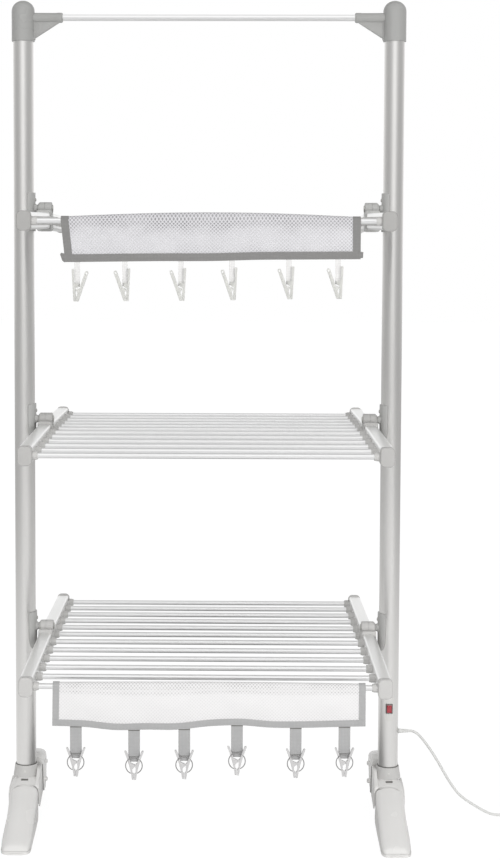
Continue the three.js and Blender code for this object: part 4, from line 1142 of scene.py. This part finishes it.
class AIRER_OT_feet(bpy.types.Operator):
    """Foot bodies with their collars, and four folding legs"""

    bl_idname = "airer.feet"
    bl_label = "Feet"

    def execute(self, context):
        # Painted shadow: a dark ring under the collar's rolled edge stands for its contact shadow
        rim = scaled([(111.5, 19.4), (111.5, 20.1), (113.7, 20), (113.7, 19.4)])
        gap = turned("gap", rim, (0, 0, 0), ALONG_Z, 96)
        kinds = (
            ("front_leg", self.front_leg(), "pale", GLOSSY, "front_leg", True),
            # Painted light: the rear legs wear the pale plastic painted lighter
            ("rear_leg", self.rear_leg(), "pale_painted_lighter", GLOSSY, "rear_leg", True),
            ("foot_body", self.body(), "pale", GLOSSY, None, True),
            ("foot_collar", self.collar(), "collar", "grey_plastic", None, False),
            ("foot_slot_shade", self.slot(), "shadow_gap", "black_plastic", None, False),
            ("foot_dot", self.dot(), "label", GLOSSY, None, False),
            ("front_leg_crease_shade", self.crease(), "collar", GLOSSY, "front_leg", False),
            ("foot_slit_shade", self.slit(), "shadow_gap", "grey_plastic", None, False),
            ("foot_collar_shadow_line", gap, "shadow_gap", "grey_plastic", None, False),
        )
        for side, turn in SIDES:
            place = turn @ Matrix.Translation((-sizes().post_axis, 0, 0))
            for kind, part, finish, slot, leg, stands_for_node in kinds:
                nodes = [f"{side}_{kind}"] if stands_for_node else []
                dress(copied(part, f"{side}_{kind}_moulding", place), f"{side}_{leg}" if leg else "frame",
                      finish, slot, *nodes)
        discard(*[row[1] for row in kinds])
        return {"FINISHED"}

    def leg(self, table, top, half, inward, wall, stations, draft_at, flare_at):
        """An arched shell, open below, with a tongue to the pivot."""
        rings, hollow = [], []
        aside = Vector((inward, 0, 0))
        for place in stations:
            top_share, bottom_share, inner_share, outer_share = table_row(table, place)
            flare, draft = flare_at(place), draft_at(place)
            inner, outer = half * inner_share, half * outer_share
            low = max(LEG_UNDERSIDE * bottom_share, 0)
            high = max(top * top_share, low + 0.002)
            y = leg_y(place, LEG_GAP)
            ring = arched_section(inner - flare, outer - flare, y, low, high, draft, flare)
            rings.append([point + aside for point in ring])
            if place <= 0.9:
                y -= 0.0015 if place == 0 else 0
                ring = arched_section(inner - wall, outer - wall, y, low - 0.002,
                                      max(high - wall, low + 0.001), draft)
                hollow.append([point + aside for point in ring])
        shell = lofted("leg", rings, 60)
        cut(shell, lofted("hollow", hollow, 60))
        settle(shell, "leg", 60)
        width = FOOT_BODY_WIDTH / 2 - CHEEK_WALL - LEG_GAP
        start, pivot_z = leg_y(0, LEG_GAP) - 0.002, FRONT_PIVOT[1]
        outline = [(start, pivot_z - TONGUE_RADIUS)] + arc(FRONT_PIVOT, TONGUE_RADIUS, -90, 70, 10)
        outline += [(start, pivot_z + 0.011)]
        return merge("leg", [shell, slab("tongue", outline, "YZ", -width, width, 0.0006)])

    def stations(self, *extra):
        """Places of the rings along a leg, closer together at its tip."""
        evenly = {round(step / LEG_STATIONS, 4) for step in range(LEG_STATIONS + 1)}
        return sorted(evenly | {0.975, 0.99, 0.995} | set(extra))

    def front_leg(self):
        """Its shell widens at once where it leaves the body, and its sole has a lip."""
        return self.leg(
            FRONT_LEG, FRONT_LEG_TOP, FRONT_LEG_HALF, 0, FRONT_LEG_WALL, self.stations(0.148, 0.151),
            lambda place: FRONT_LEG_DRAFT * (clamped((place - 0.15) * 5) * min((1 - place) * 2, 1)),
            lambda place: SOLE_LIP * clamped((place - 0.8) / 0.08),
        )

    def rear_leg(self):
        """Two domed studs stand out on its inner side."""
        leg = self.leg(REAR_LEG, REAR_LEG_TOP, REAR_LEG_HALF, REAR_LEG_INWARD, REAR_LEG_WALL, self.stations(),
                       lambda place: REAR_LEG_DRAFT * min(place * 7, 1), lambda place: 0.0)
        dome = scaled([(24, 4.6), (32, 4.6), (33.8, 4), (34.9, 2.6), (35.3, 0)])
        studs = [turned("stud", dome, (0, leg_y(0.2), height), ALONG_X, 24) for height in (0.0985, 0.0635)]
        return mirrored(merge("leg", [leg] + studs), "rear_leg", MIRROR_Y)

    def crease(self):
        """Painted shade: a grey line above the sole, round the tip of a front leg, for the shade of the
        crease there.
        """
        inner_side, outer_side = [], []
        for step in range(25):
            place = 0.86 + 0.115 * step / 24
            inner_share, outer_share = table_row(FRONT_LEG, place)[2:]
            y = leg_y(place, LEG_GAP)
            inner_side.append((FRONT_LEG_HALF * inner_share + 0.0004, y, CREASE_HEIGHT))
            outer_side.append((-FRONT_LEG_HALF * outer_share - 0.0002, y, CREASE_HEIGHT))
        return tube_along("crease", outer_side + inner_side[::-1], CREASE_RADIUS, 8)

    def body(self):
        """Fixed body: a hood that runs from the collar over the front leg, between two shields, and the
        cheeks round the leg pivots."""
        # Distance in front of the post, inner and outer half widths, top and underside
        stations = (
            (20.5, 23.2, 23.2, 89.5, 71.5), (19.2, 24, 24, 91.2, 71.5), (4, 25, 25, 92.2, 71.5),
            (-12, 26.2, 25.8, 92.2, 71.5), (-21, 27.2, 26.4, 91.5, 71.5), (-27, 27.6, 26.6, 89.8, 70.5),
            (-34, 28, 26.8, 87, 69), (-40, 28.3, 26.8, 84.7, 66), (HOOD_FRONT / MM, 28.5, 26.7, 82.1, 62),
        )
        rings = []
        for station in stations:
            y, inner, outer, high, low = (value * MM for value in station)
            rings.append(arched_section(inner, outer, y, low, high))
        hood = lofted("hood", rings, 60)
        web = scaled([(19.5, 75), (19.5, 99), (17, 105.3), (-7, 105.3), (-12.5, 102.8), (-21, 95.2),
                      (-34, 88), (-44, 82.8), (-44, 64)])
        web = slab("inner_web", web, "YZ", 0.0215, PANEL_IN + 0.0006, 0.0006)
        parts = [self.hollowed(hood), self.hollowed(web)]
        half_x, half_y = FOOT_BODY_WIDTH / 2, FOOT_BODY_DEPTH / 2
        outline = [(-half_y, CHEEK_TOP)] + arc(FRONT_PIVOT, CHEEK_RADIUS, 180, 270, 8)
        outline += arc(REAR_PIVOT, CHEEK_RADIUS, -90, 0, 8) + [(half_y, CHEEK_TOP)]
        for side, near, far in ((-1, SHIELD_IN, SHIELD_OUT), (1, PANEL_IN, PANEL_OUT)):
            parts.append(between("cheek", outline, side * (half_x - CHEEK_WALL), side * half_x, 0.0009))
            parts.append(between("rib", outline, side * (half_x - 0.001), side * (near + 0.0006)))
            shield = between("shield", self.shield(side > 0), side * near, side * far, 0.0004)
            if side > 0:
                self.slant(shield)
            parts.append(shield)
        lining = arc(FRONT_PIVOT, 0.029, 215, 180, 8) + [(-0.040, CHEEK_TOP), (0.0200, CHEEK_TOP)]
        lining += arc(REAR_PIVOT, 0.0090, -90, 0, 8)[::-1]
        parts.append(slab("lining", lining, "YZ", 0.0240, PANEL_IN + 0.0002))
        return merge("body", parts)

    def slant(self, panel):
        """Lets a panel grow thicker towards its foot."""
        for vertex in panel.data.vertices:
            vertex.co.x += (0.088 - vertex.co.z) * 0.034 if vertex.co.x > PANEL_IN + 0.0003 else 0

    def slit(self):
        """Painted shade: a dark slab in the gap between the panel and the rear leg."""
        outline = scaled([(20, 52), (20.7, 52), (20.7, 99), (20, 103)])
        slit = slab("slit", outline, "YZ", PANEL_OUT - 0.0002, PANEL_OUT + 0.0010)
        self.slant(slit)
        return slit

    def hollowed(self, piece):
        """Takes the room of the front leg out of a piece of the body."""
        start = FOOT_BODY_DEPTH / 2
        rings = []
        for y in (-start, -0.0300, -0.0380, HOOD_FRONT - 0.002):
            place = min((-y - start) / (FOOT_REACH - start), 0.148)
            high = FRONT_LEG_TOP * table_row(FRONT_LEG, place)[0] + 0.0003
            rings.append(arched_section(PANEL_IN, SHIELD_IN, y, 0.04, high))
        cut(piece, lofted("hollow", rings, 60))
        return settle(piece, piece.name, 40)

    def shield(self, inner):
        """Outline of a shield; below its pivot the front edge follows the leg's swing."""
        low = arc(FRONT_PIVOT, FRONT_PIVOT[0] - HOOD_FRONT, 215, 180, 8)
        rear = arc(REAR_PIVOT, CHEEK_RADIUS, -90, 0, 8)
        if inner:
            top = scaled([(-45.5, 83.5), (-34, 89.5), (-21, 96.7), (-12, 104.5), (-6, 107), (12.5, 107),
                          (16.5, 106.5), (19.7, 102.5), (20.5, 98.5)])
        else:
            top = scaled([(-45.5, 68.5), (-34, 76), (17.5, 82), (20.5, 78)])
        return low + top + rear[::-1]

    def collar(self):
        """Grey band: a rolled top edge, and a skirt that flares to the foot."""
        profile = [(90.3, 19.6), (90.3, 24), (90.9, 24.3), (92.5, 24.2), (97, 23.3), (106, 21.9),
                   (110.8, 21.5), (111.9, 21.1), (112.4, 20.4), (112.2, 19.6)]
        return turned("collar", scaled(profile), (0, 0, 0), ALONG_Z, 96)

    def slot(self):
        """Release slot in the front of the body: a dark block whose colour is the painted shade inside it."""
        return block("slot", (-0.0066, -0.0322, 0.0876), (0.0066, -0.0260, 0.0897), 0.0006)

    def dot(self):
        """Small round stud on the collar."""
        dome = [(20.5, 0), (20.5, 2.1), (22.9, 2.1), (23.4, 1.3), (23.5, 0)]
        return turned("dot", scaled(dome), (0, 0, 0.1018), (0, -1, 0), 24)


# Switch

SWITCH_HEIGHT = 0.227
SWITCH_TILT = math.radians(8)
RIM_HALF_WIDTH, RIM_HALF_HEIGHT, RIM_PROUD, RIM_DEPTH = 0.0064, 0.0093, 0.0014, 0.0144
POCKET_HALF_WIDTH, POCKET_HALF_HEIGHT, POCKET_DEPTH = 0.0049, 0.0079, 0.0098
ROCKER_HALF_WIDTH, ROCKER_SETBACK = 0.0045, 0.0032
LABEL_OUTER, LABEL_INNER, LABEL_HALF_ANGLE = 0.0193, 0.0189, 26


class AIRER_OT_switch(bpy.types.Operator):
    """Rocker switch with its frame, and the bare plate round it"""

    bl_idname = "airer.switch"
    bl_label = "Switch"

    def execute(self, context):
        s = sizes()
        x, z = s.post_axis, SWITCH_HEIGHT
        front = -s.post_diameter / 2 - RIM_PROUD
        rim = block("housing", (x - RIM_HALF_WIDTH, front, z - RIM_HALF_HEIGHT),
                    (x + RIM_HALF_WIDTH, front + RIM_DEPTH, z + RIM_HALF_HEIGHT), 0.0006)
        cut(rim, block("pocket", (x - POCKET_HALF_WIDTH, front - 0.002, z - POCKET_HALF_HEIGHT),
                       (x + POCKET_HALF_WIDTH, front + POCKET_DEPTH, z + POCKET_HALF_HEIGHT), 0.0003))
        dress(settle(rim, "switch_frame", 30), "frame", "bezel", "black_plastic", "switch_housing")
        shares = [step / 12 for step in range(1, 12)]
        dished = [(-4.7 + 1.4 * math.sin(math.pi * share), 7 - 14 * share) for share in shares]
        outline = [(-4.7, 7)] + dished + [(-4.7, -7), (-0.9, -7), (2.6, -2.3), (2.6, 2.3), (-0.9, 7)]
        rocker = slab("switch_rocker_cap", scaled(outline), "YZ", -ROCKER_HALF_WIDTH, ROCKER_HALF_WIDTH,
                      0.0006, 3, 50)
        place = Matrix.Translation((x, front + ROCKER_SETBACK, z))
        rocker.data.transform(place @ Matrix.Rotation(SWITCH_TILT, 4, "X"))
        dress(rocker, "switch_rocker", "rocker", "red_plastic", "switch_rocker")
        self.label(x)
        return {"FINISHED"}

    def label(self, x):
        """Bare plate, curved round the post, with its corners taken off."""
        half = LABEL_HALF_ANGLE
        rings = []
        for height, share in ((0.2035, 0.97), (0.204, 1), (0.2475, 1), (0.248, 0.97)):
            ring = []
            for radius, angles in ((LABEL_OUTER, range(-half, half + 1, 2)),
                                   (LABEL_INNER, range(half, -half - 1, -2))):
                turns = [math.radians(angle * share - 90) for angle in angles]
                ring += [Vector((x + radius * math.cos(turn), radius * math.sin(turn), height))
                         for turn in turns]
            rings.append(ring)
        dress(lofted("switch_label_plate", rings, 50), "frame", "label", GLOSSY)


# Mesh strips

STRIPS = {
    "top": {
        "start": -0.244, "end": 0.258, "drop": 0.0665, "arch": 0.0075, "fold": 0.0022, "folds": 3,
        "shares": [1.035, 1.02, 1.005, 1, 0.965, 0.955, 0.945],
        "places": [0.054, 0.214, 0.401, 0.572, 0.762, 0.926], "strap": (0.0092, 0.0012, 0.042),
        "binding": "dark_binding", "webbing": "tape", "band": 0.0125, "slot": "white_mesh", "lean": 0.0072,
        "corners": (
            (0, [(4, 0), (-1.6, -1), (-5.2, 1.8), (-8.8, 12.2), (-7.2, 15.2), (4, 12.5)]),
            (1, [(-4, 1), (4.5, 1.5), (5, 11.5), (-4, 12.5)]),
        ),
    },
    "bottom": {
        "start": -0.260, "end": 0.273, "drop": 0.0685, "arch": 0.002, "fold": 0.003, "folds": 4,
        "shares": [0.97, 0.99, 1.065, 1.05, 1.045, 0.955, 0.925, 0.98, 0.98, 0.955, 0.935],
        "places": [0.073, 0.26, 0.421, 0.59, 0.778, 0.934], "strap": (0.020, 0.0016, 0.056),
        "binding": "webbing", "webbing": "webbing", "band": 0.0105, "slot": "grey_mesh", "lean": -0.001,
        "corners": (),
    },
}
HANG_PLANE = 0.0072
LOOP_RADIUS = 0.0072
LOOP_END = -132
LOOP_LENGTH = LOOP_RADIUS * math.radians(180 - LOOP_END)
RIPPLE_DEPTH, RIPPLE_TURNS = 0.0005, 61
CLOTH_COLUMNS, CLOTH_ROWS = 150, 40
BAND_HALF = 0.0011
BAND_EDGE = 0.0006
STRAP_GAP = 0.0003


def bar_axis(tier):
    """The front bar's axis on a tier, with the wing's droop."""
    s = sizes()
    y, z = -s.bar_pitch * (BARS_IN_WING - 0.5), -s.bar_drop
    sine, cosine = math.sin(WING_DROOP), math.cos(WING_DROOP)
    return Vector((0, y * cosine - z * sine, HUB_HEIGHTS[tier] + y * sine + z * cosine))


def strip_bottom(strip, place):
    return -strip["drop"] * smooth_curve(strip["shares"], place)


def strip_width(strip):
    return strip["end"] - strip["start"]


def strap_x(strip, place):
    return strip["start"] + place * strip_width(strip)


def strip_across(strip, place, z):
    """Distance along the bar of a point of the cloth: the left end leans inwards as it hangs."""
    return strap_x(strip, place) + strip["lean"] * clamped(-z / strip["drop"]) * (1 - place) ** 6


def strip_point(strip, place, along):
    """A point of the cloth about the bar: along 0 is the hem, 1 is the end of the loop."""
    drop = -strip_bottom(strip, place)
    walked = along * (drop + LOOP_LENGTH)
    if walked < drop:
        share = clamped((walked - strip["band"]) / (drop - strip["band"]))
        wave = math.sin(math.pi * share)
        fold = strip["fold"] * math.sin(math.pi * place * strip["folds"]) ** 2
        ripple = RIPPLE_DEPTH * math.sin(place * RIPPLE_TURNS) * wave
        return -HANG_PLANE - fold * wave**2 + ripple * share, walked - drop
    angle = math.pi - (walked - drop) / LOOP_RADIUS
    lift = max(math.sin(angle), 0) * strip["arch"] * math.sin(math.pi * place)
    return LOOP_RADIUS * math.cos(angle), LOOP_RADIUS * math.sin(angle) + lift


class AIRER_OT_strips(bpy.types.Operator):
    """The two net strips with their binding and straps"""

    bl_idname = "airer.strips"
    bl_label = "Net strips"

    def execute(self, context):
        for tier, strip in STRIPS.items():
            origin = bar_axis(tier)
            cloth = self.cloth(tier, strip, origin)
            binding = self.binding(tier, strip, origin)
            straps = self.straps(tier, strip, origin)
        return {"FINISHED"}

    def cloth(self, tier, strip, origin):
        """One sheet: a tail in front, and a loop over the bar; its pattern follows the cloth."""
        points, faces = [], []
        after = CLOTH_ROWS + 1
        for column in range(CLOTH_COLUMNS + 1):
            place = column / CLOTH_COLUMNS
            for row in range(after):
                y, z = strip_point(strip, place, row / CLOTH_ROWS)
                points.append(origin + Vector((strip_across(strip, place, z), y, z)))
                if column < CLOTH_COLUMNS and row < CLOTH_ROWS:
                    corner = column * after + row
                    faces.append([corner, corner + 1, corner + after + 1, corner + after])
        name = f"{tier}_net_cloth"
        cloth = from_mesh(name, points, [], faces)
        layer = cloth.data.uv_layers.new(name="cloth")
        wide, tall = strip_width(strip), strip["drop"] + LOOP_LENGTH
        for loop in cloth.data.loops:
            column, row = divmod(loop.vertex_index, after)
            layer.data[loop.index].uv = (column / CLOTH_COLUMNS * wide, row / CLOTH_ROWS * tall)
        settle(cloth, name, 60)
        return dress(cloth, f"{tier}_strip", f"{tier}_net", strip["slot"], f"{tier}_mesh_strip")

    def binding(self, tier, strip, origin):
        """Folded tape round the ends and along the foot, with a turned corner."""
        parts = [self.foot_band(strip, origin)]
        parts += [self.side_band(strip, origin, place, sign) for place, sign in ((0, 1), (1, -1))]
        for place, shape in strip["corners"]:
            bottom = strip_bottom(strip, place)
            x, z = origin.x + strip_across(strip, place, bottom), origin.z + bottom
            front = origin.y - HANG_PLANE - BAND_HALF - 0.0006
            outline = [(x + a, z + b) for a, b in scaled(shape)]
            parts.append(slab("corner", outline, "XZ", front, front + 0.0026, 0.0005))
        name = f"{tier}_strip_binding"
        binding = settle(merge(name, parts), name, 50)
        return dress(binding, f"{tier}_strip", strip["binding"], strip["slot"])

    def foot_band(self, strip, origin, steps=120):
        """Band along the hem: flat faces with round edges."""
        half = BAND_HALF + 0.0004
        rings = []
        for step in range(steps + 1):
            place = step / steps
            bottom = strip_bottom(strip, place)
            x = strip_across(strip, place, bottom) + 0.0004 * (2 * place - 1)
            low, high = bottom - BAND_EDGE, bottom + strip["band"]
            corners = [(-half, low + half), (-half, high), (half, high), (half, low + half),
                       (half * 0.6, low), (-half * 0.6, low)]
            rings.append([origin + Vector((x, -HANG_PLANE + y, z)) for y, z in corners])
        return lofted("foot_band", rings, 60)

    def side_band(self, strip, origin, place, sign, steps=40):
        """Band at an end, which follows the cloth over the bar."""
        near, far = -BAND_EDGE * sign, strip["band"] * sign
        rings = []
        for step in range(steps + 1):
            y, z = strip_point(strip, place, step / steps)
            centre = origin + Vector((strip_across(strip, place, z), y, z))
            after = strip_point(strip, place, min(step / steps + 0.01, 1))
            before = strip_point(strip, place, max(step / steps - 0.01, 0))
            along = Vector((0, after[0] - before[0], after[1] - before[1])).normalized()
            out = Vector((0, along.z, -along.y)) * BAND_HALF
            rings.append([centre + Vector((x, 0, 0)) + face
                          for x, face in ((near, out), (far, out), (far, -out), (near, -out))])
        return lofted("side_band", rings, 40)

    def straps(self, tier, strip, origin):
        """Straps; those of the lower strip show a seam line of painted shade and a dark row of stitches."""
        wide, thick, long = strip["strap"]
        front = -HANG_PLANE - thick / 2
        made = []
        for number, place in enumerate(strip["places"], 1):
            x, top = strap_x(strip, place), strip_bottom(strip, place)
            end = top - long
            boxes = [("strap", 0, front, front + thick, end, top + 0.004, thick * 0.3, 2, strip["webbing"])]
            if tier == "bottom":
                # Painted shade: the seam is a dark strip where shade falls; the stitches use the same dark
                # grey
                boxes.append(("strap_seam_shade", 0, front - 0.0004, front + 0.0002, top - 0.0022, top - 0.0006,
                              0.0002, 3, "shadow_gap"))
                boxes.append(("strap_stitch", 0.0006, front - 0.0003, front + 0.0002, end + 0.0085,
                              end + 0.0092, 0.0002, 3, "shadow_gap"))
            for name, inset, near, far, low, high, bevel, segments, finish in boxes:
                half = wide / 2 - inset
                piece = block(f"{tier}_{name}_{number}", origin + Vector((x - half, near, low)),
                              origin + Vector((x + half, far, high)), bevel, segments)
                made.append(dress(piece, f"{tier}_strip", finish, strip["slot"]))
        return made


# Clips and pegs

CLIP_HEIGHT, CLIP_SEAT, CLIP_THICKNESS, CLIP_PIVOT_SHARE = 0.055, 0.025, 0.005, 0.345
PEG_HEIGHT, PEG_SEAT, PEG_LEG_THICKNESS, PEG_ARM_THICKNESS = 0.050, 0.030, 0.006, 0.0042
PEG_PIVOT = (0, 0.024)
RING_RADIUS, RING_WIRE, RING_HEIGHT, RING_OPENING = 0.0142, 0.0009, 0.025, 44
RING_PLANE_WIRE = 0.00075


def hangers(tier, seat):
    """The number and the place of each clip or peg, below its strap."""
    strip, origin = STRIPS[tier], bar_axis(tier)
    for number, place in enumerate(strip["places"], 1):
        jaw = strip_bottom(strip, place) - strip["strap"][2] - seat
        yield number, Matrix.Translation(origin + Vector((strap_x(strip, place), 0, jaw)))


def strap_front(tier):
    """The plane just before a strip's straps."""
    return -HANG_PLANE - STRIPS[tier]["strap"][1] / 2 - STRAP_GAP


class AIRER_OT_clips(bpy.types.Operator):
    """Milky clips of the upper strip"""

    bl_idname = "airer.clips"
    bl_label = "Clips"

    def execute(self, context):
        back = strap_front("top")
        leg, arm = self.leg(back), self.arm(back)
        for number, place in hangers("top", CLIP_SEAT):
            where = place @ (MIRROR_X if number == 1 else SAME)
            for kind, part, body in (("leg", leg, "top_strip"), ("arm", arm, f"top_clip_arm_{number}")):
                dress(copied(part, f"top_clip_{kind}_moulding_{number}", where), body, "clip",
                      "translucent_plastic", f"top_clip_{kind}_{number}")
        discard(leg, arm)
        return {"FINISHED"}

    def leg(self, back):
        shares = [(0.09, 0.985), (0.105, 1), (0.15, 1), (0.164, 0.985), (0.115, 0.02), (0.1, 0), (0.05, 0),
                  (0.037, 0.02), (0.035, 0.145), (0.047, 0.3), (0.047, 0.396), (-0.044, 0.444),
                  (-0.051, 0.54), (-0.04, 0.555), (0.085, 0.555), (0.09, 0.575)]
        leg = slab("leg", scaled(shares, CLIP_HEIGHT), "XZ", back, back - CLIP_THICKNESS, 0.0005, 2, 30)
        teeth = [slab("teeth", scaled([(1.8, z), (5.8, z), (5.8, z + 0.7), (1.8, z + 0.7)]), "XZ",
                      back - 0.0048, back - 0.0053) for z in (3, 6, 9)]
        return merge("leg", [leg] + teeth)

    def arm(self, back):
        jaw_shares = [(-0.042, 0.01), (-0.03, 0), (0.02, 0), (0.028, 0.01), (0.028, 0.127), (-0.012, 0.25)]
        grip_shares = [(-0.07, 0.41), (-0.24, 0.895), (-0.26, 0.922), (-0.285, 0.932), (-0.312, 0.928),
                       (-0.335, 0.91), (-0.345, 0.876)]
        outline = scaled(jaw_shares, CLIP_HEIGHT)
        outline += arc((0, CLIP_PIVOT_SHARE * CLIP_HEIGHT), 0.0022, -60, 80, 10)
        outline += scaled(grip_shares, CLIP_HEIGHT)
        arm = slab("arm", outline, "XZ", back, back - CLIP_THICKNESS, 0.0005, 2, 30)
        x, z = scaled([(-0.288, 0.86)], CLIP_HEIGHT)[0]
        cut(arm, rod("hole", 0.0015, (x, back + 0.002, z), (x, back - 0.008, z), 24))
        return settle(arm, "arm", 30)


class AIRER_OT_pegs(bpy.types.Operator):
    """Grey pegs of the lower strip, with their ring springs"""

    bl_idname = "airer.pegs"
    bl_label = "Pegs"

    def execute(self, context):
        back = strap_front("bottom")
        leg, arm, ring = self.leg(back), self.arm(back), self.ring(back)
        for number, where in hangers("bottom", PEG_SEAT):
            leg_node, arm_node = f"bottom_peg_leg_{number}", f"bottom_peg_arm_{number}"
            for part, name, body, finish, node in (
                (leg, "leg_moulding", "bottom_strip", "peg", leg_node),
                (ring, "ring_spring", "bottom_strip", "spring", leg_node),
                (arm, "arm_moulding", arm_node, "peg", arm_node),
            ):
                dress(copied(part, f"bottom_peg_{name}_{number}", where), body, finish, "peg_plastic", node)
        discard(leg, arm, ring)
        return {"FINISHED"}

    def side(self, back, thickness, seat):
        """One side of a peg, with what it has at the pivot."""
        grip_shares = [(0.008, 0.01), (0.016, 0), (0.062, 0), (0.072, 0.01), (0.1, 0.22), (0.17, 0.5),
                       (0.235, 0.72),
                       (0.33, 0.97), (0.325, 0.99), (0.31, 1), (0.285, 1), (0.262, 0.985), (0.17, 0.76),
                       (0.11, 0.58)]
        outline = scaled(grip_shares, PEG_HEIGHT) + seat
        outline += scaled([(0.06, 0.36), (0.055, 0.25), (0.008, 0.19)], PEG_HEIGHT)
        return slab("side", outline, "XZ", back, back - thickness, 0.0006, 2, 30)

    def leg(self, back):
        return self.side(back, PEG_LEG_THICKNESS, scaled([(2.7, 26.4), (2.7, 21.6)]))

    def arm(self, back):
        return mirrored(self.side(back, PEG_ARM_THICKNESS, arc(PEG_PIVOT, 0.0024, 100, 260, 10)), "side",
                        MIRROR_X)

    def ring(self, back):
        """Ring spring, open below, in front of the arm."""
        plane = back - STRAP_GAP - PEG_ARM_THICKNESS - RING_PLANE_WIRE
        start, sweep = -90 + RING_OPENING / 2, 360 - RING_OPENING
        turns = [math.radians(start + sweep * step / 48) for step in range(49)]
        points = [(RING_RADIUS * math.cos(turn), plane,
                   RING_HEIGHT + RING_RADIUS * math.sin(turn)) for turn in turns]
        return tube_along("ring", points, RING_WIRE, 10)


# Panel

OPERATORS = (AIRER_OT_stage, AIRER_OT_cord, AIRER_OT_posts, AIRER_OT_elbows, AIRER_OT_brackets,
             AIRER_OT_wings, AIRER_OT_feet, AIRER_OT_switch, AIRER_OT_strips, AIRER_OT_clips, AIRER_OT_pegs)


class AIRER_PT_panel(bpy.types.Panel):
    """The airer's operators in the sidebar"""

    bl_idname = "AIRER_PT_panel"
    bl_label = "Heated clothes airer"
    bl_space_type = "VIEW_3D"
    bl_region_type = "UI"
    bl_category = "Airer"

    def draw(self, context):
        for operator in OPERATORS:
            self.layout.operator(operator.bl_idname)
        for group in (context.scene.airer_sizes, context.scene.airer_colours):
            for name in group.__annotations__:
                self.layout.prop(group, name)


CLASSES = (AirerSizes, AirerColours, *OPERATORS, AIRER_PT_panel)


def register():
    for kind in CLASSES:
        bpy.utils.register_class(kind)
    bpy.types.Scene.airer_sizes = bpy.props.PointerProperty(type=AirerSizes)
    bpy.types.Scene.airer_colours = bpy.props.PointerProperty(type=AirerColours)


def unregister():
    del bpy.types.Scene.airer_colours
    del bpy.types.Scene.airer_sizes
    for kind in reversed(CLASSES):
        bpy.utils.unregister_class(kind)


def main():
    register()
    for operator in OPERATORS:
        family, name = operator.bl_idname.split(".")
        getattr(getattr(bpy.ops, family), name)()


if __name__ == "__main__":
    main()
